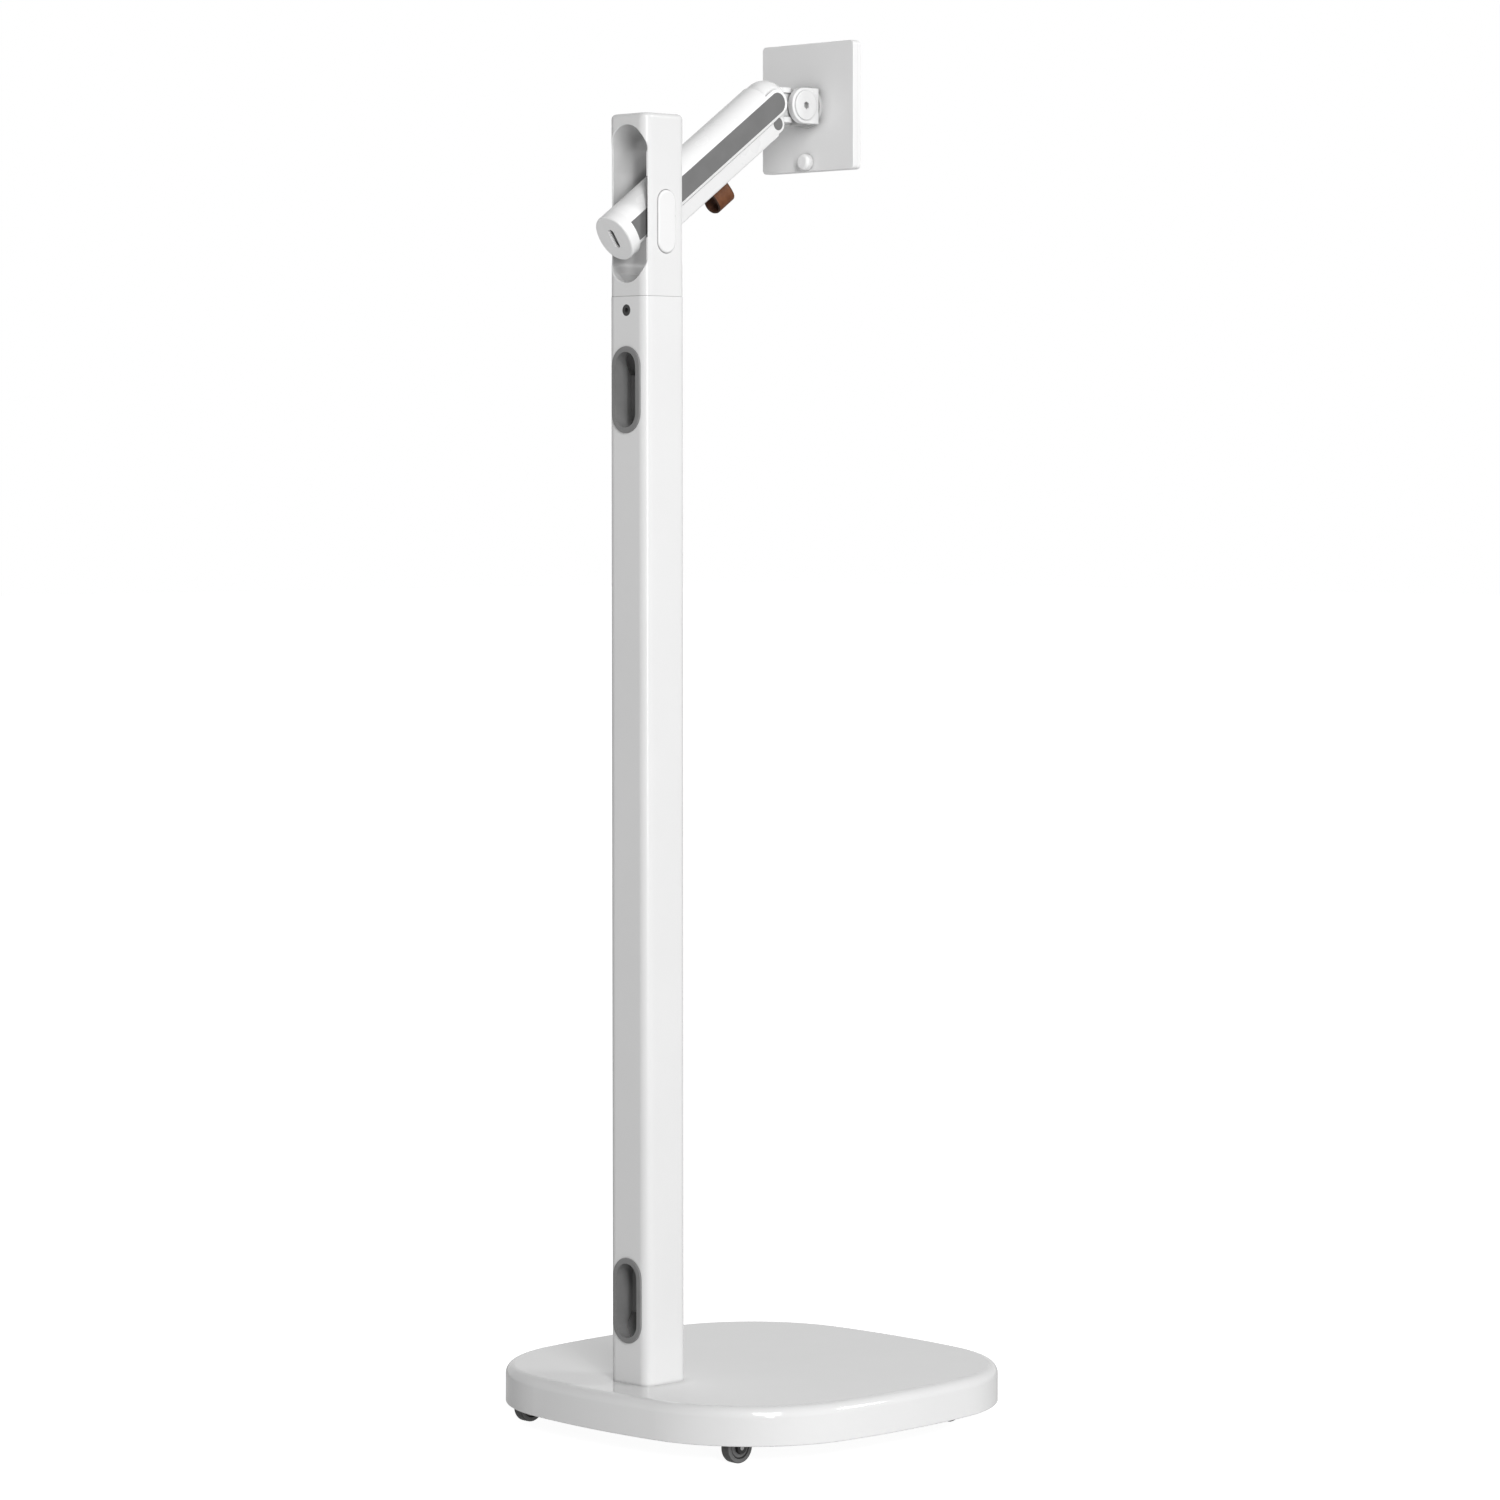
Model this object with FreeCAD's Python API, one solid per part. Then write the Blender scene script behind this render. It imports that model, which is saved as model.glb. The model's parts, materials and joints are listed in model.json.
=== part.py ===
import FreeCAD, Part
import math
import os

# Rolling floor stand: a weighted base on four casters, a square column, and a
# gas spring arm that carries a monitor plate.
# Millimetres. X is to the right seen from the front, the display faces -Y, Z is up.
# The origin is on the floor under the centre of the base.

V = FreeCAD.Vector

# Clearances
seat_gap = 0.3            # between pieces that move past each other
fit_gap = 0.03            # radial, shaft in a bearing
snug_gap = 0.1            # between pieces that are fixed together
open_pivot_gap = 0.3      # radial, at the linkage's free pivot
cut_over = 1.0            # how far a cutting shape runs past the face it opens
near = 0.01               # how close to a face a point counts as being on it

# Base
base_width = 400.0
base_height = 34.0
wheel_recess = 10.0
base_side_radius = 680.0
base_corner_radius = 133.0
base_edge_radius = 9.0
base_foot_radius = 1.2
cover_wall = 3.0
weight_thickness = 10.0
weight_margin = 6.0
tray_thickness = 2.5
tray_recess = 1.0
tray_post_radius = 6.0
tray_post_margin = 0.43
tray_screw_radius = 2.0
tray_screw_length = 27.0
tray_screw_head_radius = 3.8
tray_screw_head = 1.6
tray_screw_key = 2.0
tray_screw_key_depth = 0.8
tray_bolt_opening = 30.0

# Casters
caster_inset = 65.9
caster_angles = {"front_left": -6.0, "front_right": 14.0, "rear_left": -4.0, "rear_right": -1.5}
caster_trail = 16.0
wheel_radius = 14.0
wheel_width = 10.2
wheel_edge_radius = 2.2
wheel_hub_radius = 8.6
wheel_hub_recess = 0.8
wheel_boss_radius = 4.0
axle_radius = 2.0
fork_leg = 2.0
fork_leg_radius = 5.0
fork_leg_root = 6.0
fork_crown = 4.0
fork_crown_radius = 12.0
stem_radius = 4.0
stem_length = 8.0
stem_cap_radius = 7.0
caster_swing_room = 6.0
socket_flange = 2.0

# Column
column_setback = 71.0
column_width = 49.0
column_depth = 50.0
column_corner = 9.0
column_wall = 2.5
tube_length = 956.0
plug_length = 34.0
plug_tongue_length = 118.0
plug_tongue_depth = 9.0
plug_bolt_radius = 4.0
plug_bolt_spacing = 24.0
plug_bolt_head_radius = 6.5
plug_bolt_head = 4.0
plug_bolt_key_depth = 2.0
plug_bolt_reach = 17.0

# Cable grommets
grommet_width = 35.4
grommet_height = 75.6
grommet_rim = 4.9
grommet_flange = 1.5
grommet_wall = 2.0
grommet_depth = 20.0
upper_grommet_drop = 81.2
lower_grommet_rise = 73.8
grommet_mouth = 30.0
grommet_lip = 3.5

# Column head
head_height = 159.0
head_reveal = 0.3
head_edge_radius = 4.5
head_wall = 3.0
head_slot_bottom = 12.0
head_roof = 10.0
head_slot_edge = 0.9
seam_edge_radius = 0.6
spigot_length = 33.0
spigot_wall = 5.0
lock_screw_drop = 12.0
lock_screw_radius = 3.0
lock_screw_head_radius = 5.0
lock_screw_head = 2.2
lock_screw_length = 9.0
side_cover_width = 21.8
side_cover_height = 55.8
side_cover_thickness = 1.2
side_cover_groove = 0.4
side_cover_drop = 11.5
side_cover_rise = 2.0
side_cover_edge = 1.9

# Linkage
arm_angle = 34.6
arm_length = 175.3
arm_pivot_rise = 76.6
link_drop = 17.9
link_lead = 4.9
lowest_angle = -30.0
highest_angle = 45.0
pivot_pin_radius = 5.0
link_pin_radius = 3.5
wrist_pin_radius = 4.0
link_front_pin_radius = 3.0
bush_radius = 7.0
bush_flange_radius = 9.0

# Arm
arm_half_width = 17.5
arm_half_height = 22.0
arm_flat = 9.35
arm_wall = 2.4
arm_rim = 12.2
arm_tail = 37.0
cap_length = 11.0
cap_wall = 3.0
cap_edge_radius = 1.5
cap_plug = 7.0
cap_slot_width = 6.6
cap_slot_height = 18.6
cheek_radius = 12.0
roof_end = 8.5
inlay_depth = 1.0
link_window_margin = 0.6

# Gas spring
spring_drop = 7.65
cylinder_start = 24.0
cylinder_front_room = 41.3
cylinder_radius = 8.0
cylinder_bore = 6.6
cylinder_gland = 8.0
cylinder_edge_radius = 1.1
cylinder_end = 6.0
cylinder_stud_radius = 4.0
cylinder_collar_radius = 6.0
cylinder_nut_width = 13.0
cylinder_nut_height = 4.5
anchor_rib = 8.0
anchor_rib_half_width = 9.5
anchor_rib_drop = 6.5
rod_radius = 4.0
rod_length = 52.0
piston_length = 8.0
foot_length = 9.0
foot_height = 4.3
foot_side_room = 1.2
foot_gap = 0.6

# Tension adjuster
nut_drop = 9.5
nut_radius = 4.0
nut_side_room = 0.9
nut_stud_radius = 2.5
nut_thread_depth = 1.6
nut_travel = 4.0
bracket_side_room = 1.7
bracket_plate = 2.0
bracket_top_radius = 8.0
bracket_bottom_radius = 6.0
bracket_web_reach = 14.0
bracket_web = 3.0
bracket_web_height = 10.0
tension_screw_radius = 2.5
tension_screw_head_radius = 4.5
tension_screw_head = 5.0
tension_key_depth = 3.0
hex_key = 4.0

# Lower link and cable cover
link_wall = 2.0
link_end_radius = 7.8
link_wall_rise = 6.0
link_floor_start = 16.0
link_floor_margin = 26.0
link_cap_radius = 5.7
link_cap_depth = 0.8
cover_side_room = 0.5
cover_side = 1.2
cover_drop = 9.4
cover_rise = 4.3
cover_floor = 1.4
cover_start = 14.0
cover_end_margin = 4.9
cover_corner = 1.8

# Leather strap
strap_start = 75.1
strap_width = 22.4
strap_thickness = 1.8
strap_top_half_width = 5.8
strap_half_width = 8.6
strap_depth = 21.0
strap_bottom_radius = 7.8
strap_stud_radius = 2.6
strap_stud_head = 0.8
strap_stud_stem_radius = 1.4

# Wrist
drum_radius = 21.0
drum_side_room = 0.5
drum_crown_radius = 18.5
drum_shoulder_room = 0.7
drum_hub_radius = 6.5
drum_floor = 14.4
drum_nose = 12.0
drum_lug_radius = 6.3
roof_gap = 0.6
swivel_reach = 19.3
swivel_lug = 4.55
swivel_half_height = 15.3
swivel_radius = 9.8
swivel_ear_radius = 11.5
swivel_pin_radius = 3.5

# Tilt head
knuckle_length = 15.2
knuckle_radius = 11.0
knuckle_half_width = 9.0
clevis_inner = 12.0
clevis_outer = 18.0
clevis_half_height = 16.0
clevis_length = 17.6
clevis_web = 5.8
clevis_edge = 1.0
tilt_screw_radius = 4.0
tilt_disc_radius = 13.2
tilt_disc = 1.5
tilt_key = 6.0
tilt_key_depth = 4.0
tilt_nut_boss_radius = 6.5
friction_washer_radius = 10.0

# Plate
flange_radius = 18.6
flange_thickness = 3.1
rotation_screw_radius = 5.0
rotation_head_radius = 8.0
rotation_head = 2.0
plate_width = 115.0
plate_corner = 4.0
plate_edge = 0.8
mounting_plate_thickness = 5.0
vesa_plate_thickness = 4.7
flange_screw_radius = 2.0
flange_screw_spread = 13.6
flange_screw_count = 4
vesa_large = 100.0
vesa_small = 75.0
vesa_hole_radius = 2.25
stud_spacing_x = 48.0
stud_spacing_z = 52.0
stud_radius = 2.5
stud_head_radius = 4.5
stud_head = 1.6
stud_skin = 1.5
keyhole_entry_radius = 5.0
keyhole_lift = 10.0
knob_inset = 8.5
knob_radius = 7.4
knob_length = 7.4
knob_edge_radius = 3.0
knob_stem_radius = 3.0
knob_tip_radius = 2.5
knob_tip_depth = 3.0

# Places and widths worked out from the sizes above
floor_gap = 2 * wheel_radius - wheel_recess
base_top = floor_gap + base_height
cover_ceiling = base_top - cover_wall
weight_bottom = cover_ceiling - weight_thickness
caster_spread = base_width - 2 * caster_inset
caster_tray_hole = caster_trail + wheel_radius + caster_swing_room
column_offset = base_width / 2 - column_setback
rear_face = column_offset + column_depth / 2
seam_z = base_top + tube_length
head_top = seam_z + head_height
slot_low = seam_z + head_slot_bottom
slot_high = head_top - head_roof
slot_half_width = column_width / 2 - head_wall
upper_grommet_z = seam_z - upper_grommet_drop
lower_grommet_z = base_top + lower_grommet_rise
arm_pivot_z = seam_z + arm_pivot_rise
link_pivot_z = arm_pivot_z - link_drop
link_pivot_y = column_offset - link_lead
angle = math.radians(arm_angle)
wrist_y = column_offset - arm_length * math.cos(angle)
wrist_z = arm_pivot_z + arm_length * math.sin(angle)
swivel_y = wrist_y - swivel_reach
tilt_y = swivel_y - knuckle_length
clevis_face = tilt_y - clevis_length
flange_back = clevis_face - seat_gap
plate_back = flange_back - flange_thickness
plate_joint = plate_back - mounting_plate_thickness
vesa_back = plate_joint - snug_gap
vesa_front = vesa_back - vesa_plate_thickness
knob_z = wrist_z - plate_width / 2 + knob_inset
wall_inner = arm_half_width - arm_wall
inlay_face = arm_half_width - inlay_depth
cover_half_width = wall_inner - cover_side_room
link_half_width = cover_half_width - cover_side - 2 * snug_gap
link_inner = link_half_width - link_wall
drum_half_width = link_inner - drum_side_room
drum_shoulder = wall_inner - drum_shoulder_room
drum_hub_half_width = wall_inner - seat_gap
bracket_half_width = link_inner - bracket_side_room
bracket_inner = bracket_half_width - bracket_plate
nut_half_length = bracket_inner - nut_side_room
foot_half_width = bracket_inner - foot_side_room
cylinder_length = arm_length - cylinder_start - cylinder_front_room
anchor_start = cylinder_start + cylinder_length + cylinder_end


def box(x0, x1, y0, y1, z0, z1):
    return Part.makeBox(x1 - x0, y1 - y0, z1 - z0, V(x0, y0, z0))


def cylinder_x(radius, x0, x1, y, z):
    return Part.makeCylinder(radius, x1 - x0, V(x0, y, z), V(1, 0, 0))


def cylinder_y(radius, y0, y1, x, z):
    return Part.makeCylinder(radius, y1 - y0, V(x, y0, z), V(0, 1, 0))


def cylinder_z(radius, z0, z1, x, y):
    return Part.makeCylinder(radius, z1 - z0, V(x, y, z0), V(0, 0, 1))


def arc(a, b, c):
    return Part.Arc(V(*a), V(*b), V(*c)).toShape()


def line(a, b):
    return Part.makeLine(V(*a), V(*b))


def prism(edges, direction):
    return Part.Face(Part.Wire(edges)).extrude(V(*direction))


def polygon_x(points, x0, x1):
    """Prism along X from corner points given as (y, z)."""
    corners = [V(x0, y, z) for y, z in points]
    return Part.Face(Part.makePolygon(corners + corners[:1])).extrude(V(x1 - x0, 0, 0))


def hexagon_prism(across_flats, start, direction, length):
    """Prism with six sides along a direction, from its start point."""
    radius = across_flats / math.sqrt(3)
    corners = [V(radius * math.cos(k * math.pi / 3), radius * math.sin(k * math.pi / 3), 0)
               for k in range(6)]
    solid = Part.Face(Part.makePolygon(corners + corners[:1])).extrude(V(0, 0, length))
    solid.Placement = FreeCAD.Placement(V(*start), FreeCAD.Rotation(V(0, 0, 1), V(*direction)))
    return solid


def stadium_y(half_width, z0, z1, y0, y1):
    """Upright slot shape with round ends, centred on X, as a prism along Y."""
    low, high = z0 + half_width, z1 - half_width
    edges = [
        line((-half_width, y0, low), (-half_width, y0, high)),
        arc((-half_width, y0, high), (0, y0, z1), (half_width, y0, high)),
        line((half_width, y0, high), (half_width, y0, low)),
        arc((half_width, y0, low), (0, y0, z0), (-half_width, y0, low)),
    ]
    return prism(edges, (0, y1 - y0, 0))


def stadium_x(radius, y0, z0, y1, z1, x0, x1):
    """Bar with round ends about two points given in Y and Z, as a prism along X."""
    dy, dz = y1 - y0, z1 - z0
    length = math.hypot(dy, dz)
    ny, nz = -dz / length * radius, dy / length * radius
    uy, uz = dy / length * radius, dz / length * radius
    edges = [
        line((x0, y0 + ny, z0 + nz), (x0, y1 + ny, z1 + nz)),
        arc((x0, y1 + ny, z1 + nz), (x0, y1 + uy, z1 + uz), (x0, y1 - ny, z1 - nz)),
        line((x0, y1 - ny, z1 - nz), (x0, y0 - ny, z0 - nz)),
        arc((x0, y0 - ny, z0 - nz), (x0, y0 - uy, z0 - uz), (x0, y0 + ny, z0 + nz)),
    ]
    return prism(edges, (x1 - x0, 0, 0))


def rounded_box(half_x, half_y, corner, x, y, z0, z1):
    """Upright prism on a rounded rectangle."""
    solid = box(x - half_x, x + half_x, y - half_y, y + half_y, z0, z1)
    upright = [e for e in solid.Edges if abs(e.Vertexes[0].Z - e.Vertexes[1].Z) > (z1 - z0) / 2]
    return solid.makeFillet(corner, upright)


def mirrored(solid):
    return solid.mirror(V(0, 0, 0), V(1, 0, 0))


def both_sides(solid):
    return Part.makeCompound([solid, mirrored(solid)])


def edges_at(solid, test):
    """Edges of a solid whose two ends and middle all pass a test on a point."""
    chosen = []
    for edge in solid.Edges:
        middle = edge.valueAt((edge.FirstParameter + edge.LastParameter) / 2)
        points = [v.Point for v in edge.Vertexes] + [middle]
        if all(test(p) for p in points):
            chosen.append(edge)
    return chosen


def along_arm(shape, pivot_y, pivot_z):
    """Turn a piece drawn level, with its rear pivot at the origin, to the arm's slope."""
    placed = shape.copy()
    placed.rotate(V(0, 0, 0), V(1, 0, 0), -arm_angle)
    placed.translate(V(0, pivot_y, pivot_z))
    return placed


def column_section(inset, z0, z1):
    return rounded_box(column_width / 2 - inset, column_depth / 2 - inset,
                       column_corner - inset, 0, column_offset, z0, z1)


def base_section(inset, z0, z1):
    """Prism on the bulged square outline: four wide side arcs and four corner arcs."""
    half = base_width / 2 - inset
    side, corner = base_side_radius - inset, base_corner_radius - inset
    side_centre = half - side
    gap = side - corner
    centre = (side_centre + math.sqrt(2 * gap * gap - side_centre * side_centre)) / 2
    reach = math.hypot(centre - side_centre, centre)
    tangent_x = side_centre + side * (centre - side_centre) / reach
    tangent_y = side * centre / reach
    diagonal = centre + corner / math.sqrt(2)
    side_arc = arc((tangent_x, -tangent_y, z0), (half, 0, z0), (tangent_x, tangent_y, z0))
    corner_arc = arc((tangent_x, tangent_y, z0), (diagonal, diagonal, z0),
                     (tangent_y, tangent_x, z0))
    edges = []
    for quarter in range(4):
        for edge in (side_arc, corner_arc):
            turned = edge.copy()
            turned.rotate(V(0, 0, 0), V(0, 0, 1), 90 * quarter)
            edges.append(turned)
    return prism(edges, (0, 0, z1 - z0))


def make_base_cover():
    outer = base_section(0, floor_gap, base_top)
    outer = outer.makeFillet(base_edge_radius, edges_at(outer, lambda p: p.z > base_top - near))
    outer = outer.makeFillet(base_foot_radius, edges_at(outer, lambda p: p.z < floor_gap + near))
    inner = base_section(cover_wall, floor_gap, cover_ceiling)
    ceiling_radius = base_edge_radius - cover_wall
    inner = inner.makeFillet(ceiling_radius, edges_at(inner, lambda p: p.z > cover_ceiling - near))
    return outer.cut([inner, column_section(column_wall, cover_ceiling, base_top)])


def caster_places():
    half = caster_spread / 2
    return {"front_left": (-half, -half), "front_right": (half, -half),
            "rear_left": (-half, half), "rear_right": (half, half)}


def tray_post_places():
    """Posts stand inboard of the caster openings, on the base's diagonals."""
    clear = caster_tray_hole + tray_post_radius + tray_post_margin
    half = caster_spread / 2 - clear / math.sqrt(2)
    return [(-half, -half), (half, -half), (-half, half), (half, half)]


def plug_bolt_places():
    half = plug_bolt_spacing / 2
    return [(x, column_offset + y) for x in (-half, half) for y in (-half, half)]


def make_base_weight():
    plate = base_section(cover_wall + weight_margin, weight_bottom, cover_ceiling)
    holes = [cylinder_z(stem_cap_radius + snug_gap, weight_bottom, cover_ceiling, x, y)
             for x, y in caster_places().values()]
    holes += [cylinder_z(plug_bolt_radius + snug_gap, weight_bottom, cover_ceiling, x, y)
              for x, y in plug_bolt_places()]
    holes += [cylinder_z(tray_screw_radius, weight_bottom, cover_ceiling, x, y)
              for x, y in tray_post_places()]
    return plate.cut(holes)


def make_under_tray():
    bottom = floor_gap + tray_recess
    tray = base_section(cover_wall + snug_gap, bottom, bottom + tray_thickness)
    tray = tray.cut([cylinder_z(caster_tray_hole, bottom, weight_bottom, x, y)
                     for x, y in caster_places().values()])
    posts = [cylinder_z(tray_post_radius, bottom, weight_bottom, x, y)
             for x, y in tray_post_places()]
    tray = tray.fuse(posts)
    holes = []
    for x, y in tray_post_places():
        holes.append(cylinder_z(tray_screw_radius + snug_gap, bottom, weight_bottom, x, y))
        holes.append(cylinder_z(tray_screw_head_radius + snug_gap, bottom,
                                bottom + tray_screw_head + snug_gap, x, y))
    holes.append(cylinder_z(tray_bolt_opening, bottom, bottom + tray_thickness, 0, column_offset))
    return tray.cut(holes)


def make_tray_screws():
    bottom = floor_gap + tray_recess
    screws = []
    for x, y in tray_post_places():
        screw = cylinder_z(tray_screw_radius - fit_gap, bottom, bottom + tray_screw_length, x, y)
        screw = screw.fuse(cylinder_z(tray_screw_head_radius, bottom, bottom + tray_screw_head, x, y))
        key = hexagon_prism(tray_screw_key, (x, y, bottom), (0, 0, 1), tray_screw_key_depth)
        screws.append(screw.cut(key))
    return Part.makeCompound(screws)


def make_column_socket():
    """Plug bolted on the weight; a tongue goes up the front wall, clear of the grommet."""
    inset = column_wall + snug_gap
    plug = column_section(inset, cover_ceiling, base_top + plug_length)
    tongue = column_section(inset, cover_ceiling, base_top + plug_tongue_length)
    front = column_offset - column_depth / 2 + inset + plug_tongue_depth
    tongue = tongue.common(box(-column_width, column_width, 0, front, 0, seam_z))
    holes = [cylinder_z(plug_bolt_radius, cover_ceiling, base_top + plug_length, x, y)
             for x, y in plug_bolt_places()]
    return plug.fuse(tongue).cut(holes)


def make_socket_bolts():
    bolts = []
    for x, y in plug_bolt_places():
        low = weight_bottom - plug_bolt_head
        bolt = cylinder_z(plug_bolt_radius - fit_gap, low, base_top + plug_bolt_reach, x, y)
        bolt = bolt.fuse(cylinder_z(plug_bolt_head_radius, low, weight_bottom, x, y))
        key = hexagon_prism(hex_key, (x, y, low), (0, 0, 1), plug_bolt_key_depth)
        bolts.append(bolt.cut(key))
    return Part.makeCompound(bolts)


def grommet_outline(inset, centre_z, y0, y1):
    return stadium_y(grommet_width / 2 - inset, centre_z - grommet_height / 2 + inset,
                     centre_z + grommet_height / 2 - inset, y0, y1)


def make_column_tube():
    tube = column_section(0, base_top, seam_z).cut(column_section(column_wall, base_top, seam_z))
    neck = grommet_rim - grommet_wall - snug_gap
    cuts = [grommet_outline(neck, z, column_offset, rear_face + cut_over)
            for z in (upper_grommet_z, lower_grommet_z)]
    lock_z = seam_z - lock_screw_drop
    cuts.append(cylinder_y(lock_screw_head_radius + snug_gap, rear_face - column_wall,
                           rear_face, 0, lock_z))
    return tube.cut(cuts)


def make_grommet(centre_z, mouth):
    """Frame with a deep scoop; mouth is +1 for a scoop open at its top, -1 at its foot."""
    back = rear_face - grommet_depth
    ring = grommet_outline(0, centre_z, rear_face, rear_face + grommet_flange)
    rim_edges = edges_at(ring, lambda p: p.y > rear_face + grommet_flange - near)
    ring = ring.makeFillet(grommet_flange / 2, rim_edges)
    body = ring.fuse(grommet_outline(grommet_rim - grommet_wall, centre_z, back, rear_face))
    hollow = grommet_outline(grommet_rim, centre_z, back + grommet_wall, rear_face + grommet_flange)
    end = centre_z + mouth * grommet_height / 2
    behind = back - cut_over
    throat = polygon_x([(behind, end - mouth * grommet_mouth), (rear_face - grommet_lip, end),
                        (behind, end)], -grommet_width, grommet_width)
    return body.cut([hollow, throat])


def make_column_head():
    inset = head_reveal
    head = column_section(inset, seam_z, head_top)
    head = head.makeFillet(head_edge_radius, edges_at(head, lambda p: p.z > head_top - near))
    head = head.makeFillet(seam_edge_radius, edges_at(head, lambda p: p.z < seam_z + near))
    head = head.fuse(column_section(column_wall + snug_gap, seam_z - spigot_length, seam_z))
    slot = stadium_y(slot_half_width, slot_low, slot_high, 0, 2 * column_offset)
    head = head.cut(slot)
    faces = (column_offset - column_depth / 2 + inset, rear_face - inset)
    on_faces = edges_at(head, lambda p: slot_low - near < p.z < slot_high + near
                        and abs(p.x) <= slot_half_width + near
                        and min(abs(p.y - faces[0]), abs(p.y - faces[1])) < column_corner)
    on_faces = [e for e in on_faces if abs(e.CenterOfMass.y - column_offset) > column_depth / 4]
    head = head.makeFillet(head_slot_edge, on_faces)
    duct_inset = column_wall + snug_gap + spigot_wall
    cuts = [column_section(duct_inset, seam_z - spigot_length, slot_low + slot_half_width)]
    for side in (-1, 1):
        face = side * (column_width / 2 - inset)
        pocket_x = sorted((face - side * side_cover_thickness, face))
        cuts.append(side_cover_solid(0, *pocket_x))
    cuts.append(cylinder_x(pivot_pin_radius + fit_gap, -column_width, column_width,
                           column_offset, arm_pivot_z))
    cuts.append(cylinder_x(link_pin_radius + fit_gap, -column_width, column_width,
                           link_pivot_y, link_pivot_z))
    lock_z = seam_z - lock_screw_drop
    cuts.append(cylinder_y(lock_screw_radius + fit_gap, column_offset, rear_face, 0, lock_z))
    return head.cut(cuts)


def side_cover_solid(inset, x0, x1):
    """Upright oval over both pivots, as a prism along X."""
    radius = side_cover_width / 2 - inset
    middle = arm_pivot_z - side_cover_drop
    half = (side_cover_height - side_cover_width) / 2
    return stadium_x(radius, column_offset, middle - half, column_offset, middle + half, x0, x1)


def make_side_cover(side):
    face = side * (column_width / 2 - head_reveal)
    inner, outer = face - side * (side_cover_thickness - snug_gap / 2), face + side * side_cover_rise
    cover = side_cover_solid(side_cover_groove, *sorted((inner, outer)))
    return cover.makeFillet(side_cover_edge, edges_at(cover, lambda p: abs(p.x - outer) < near))


def make_locking_screw():
    z = seam_z - lock_screw_drop
    face = rear_face - snug_gap
    screw = cylinder_y(lock_screw_head_radius, face - lock_screw_head, face, 0, z)
    screw = screw.fuse(cylinder_y(lock_screw_radius, face - lock_screw_length, face, 0, z))
    return screw.cut(hexagon_prism(hex_key, (0, face, z), (0, -1, 0), lock_screw_head - snug_gap))


def head_pin_reach():
    """Half length of a pin through both walls of the head, under the side covers."""
    return column_width / 2 - head_reveal - side_cover_thickness - snug_gap


def make_arm_pivot_pin():
    reach = head_pin_reach()
    return cylinder_x(pivot_pin_radius, -reach, reach, column_offset, arm_pivot_z)


def make_link_pivot_pins():
    """Short pin on each side, so that the gas rod passes between them when the arm is low."""
    return both_sides(cylinder_x(link_pin_radius, bracket_inner, head_pin_reach(),
                                 link_pivot_y, link_pivot_z))


def bracket_plate_outline(x0, x1):
    """One side plate of the tension bracket, round both pins and out to the rear web."""
    plate = stadium_x(bracket_bottom_radius, link_pivot_y, link_pivot_z,
                      column_offset, arm_pivot_z, x0, x1)
    plate = plate.fuse(cylinder_x(bracket_top_radius, x0, x1, column_offset, arm_pivot_z))
    web_middle = arm_pivot_z - nut_drop
    half = bracket_web_height / 2
    tail = box(x0, x1, column_offset, column_offset + bracket_web_reach,
               web_middle - half, web_middle + half)
    return plate.fuse(tail)


def make_tension_bracket():
    plates = bracket_plate_outline(bracket_inner, bracket_half_width)
    web_middle = arm_pivot_z - nut_drop
    half = bracket_web_height / 2
    web = box(-bracket_half_width, bracket_half_width,
              column_offset + bracket_web_reach - bracket_web, column_offset + bracket_web_reach,
              web_middle - half, web_middle + half)
    bracket = plates.fuse([mirrored(plates), web])
    wide = column_width
    slot = stadium_x(nut_stud_radius + snug_gap, column_offset - nut_travel, web_middle,
                     column_offset + nut_travel, web_middle, -wide, wide)
    return bracket.cut([
        cylinder_x(pivot_pin_radius + fit_gap, -wide, wide, column_offset, arm_pivot_z),
        cylinder_x(link_pin_radius + fit_gap, -wide, wide, link_pivot_y, link_pivot_z),
        cylinder_y(tension_screw_radius + snug_gap, column_offset,
                   column_offset + bracket_web_reach, 0, web_middle),
        slot,
    ])


def make_tension_nut():
    z = arm_pivot_z - nut_drop
    nut = cylinder_x(nut_radius, -nut_half_length, nut_half_length, column_offset, z)
    nut = nut.fuse(cylinder_x(nut_stud_radius, -bracket_half_width, bracket_half_width,
                              column_offset, z))
    bore = cylinder_y(tension_screw_radius + fit_gap, column_offset - nut_thread_depth,
                      column_offset + nut_radius, 0, z)
    return nut.cut(bore)


def make_tension_screw():
    z = arm_pivot_z - nut_drop
    seat = column_offset + bracket_web_reach
    start = column_offset - nut_thread_depth
    screw = cylinder_y(tension_screw_radius, start, seat, 0, z)
    screw = screw.fuse(cylinder_y(tension_screw_head_radius, seat, seat + tension_screw_head, 0, z))
    key = hexagon_prism(hex_key, (0, seat + tension_screw_head, z), (0, -1, 0),
                        tension_key_depth)
    return screw.cut(key)


def arm_profile(inset, y0, y1):
    """Level prism on the arm's section: flat sides with a shallow arc above and below."""
    rise = arm_half_height - arm_flat
    radius = (arm_half_width ** 2 + rise ** 2) / (2 * rise)
    centre = arm_half_height - radius
    half_width, radius = arm_half_width - inset, radius - inset
    flat = centre + math.sqrt(radius ** 2 - half_width ** 2)
    top = centre + radius
    edges = [
        line((half_width, y0, -flat), (half_width, y0, flat)),
        arc((half_width, y0, flat), (0, y0, top), (-half_width, y0, flat)),
        line((-half_width, y0, flat), (-half_width, y0, -flat)),
        arc((-half_width, y0, -flat), (0, y0, -top), (half_width, y0, -flat)),
    ]
    return prism(edges, (0, y1 - y0, 0))


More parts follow.
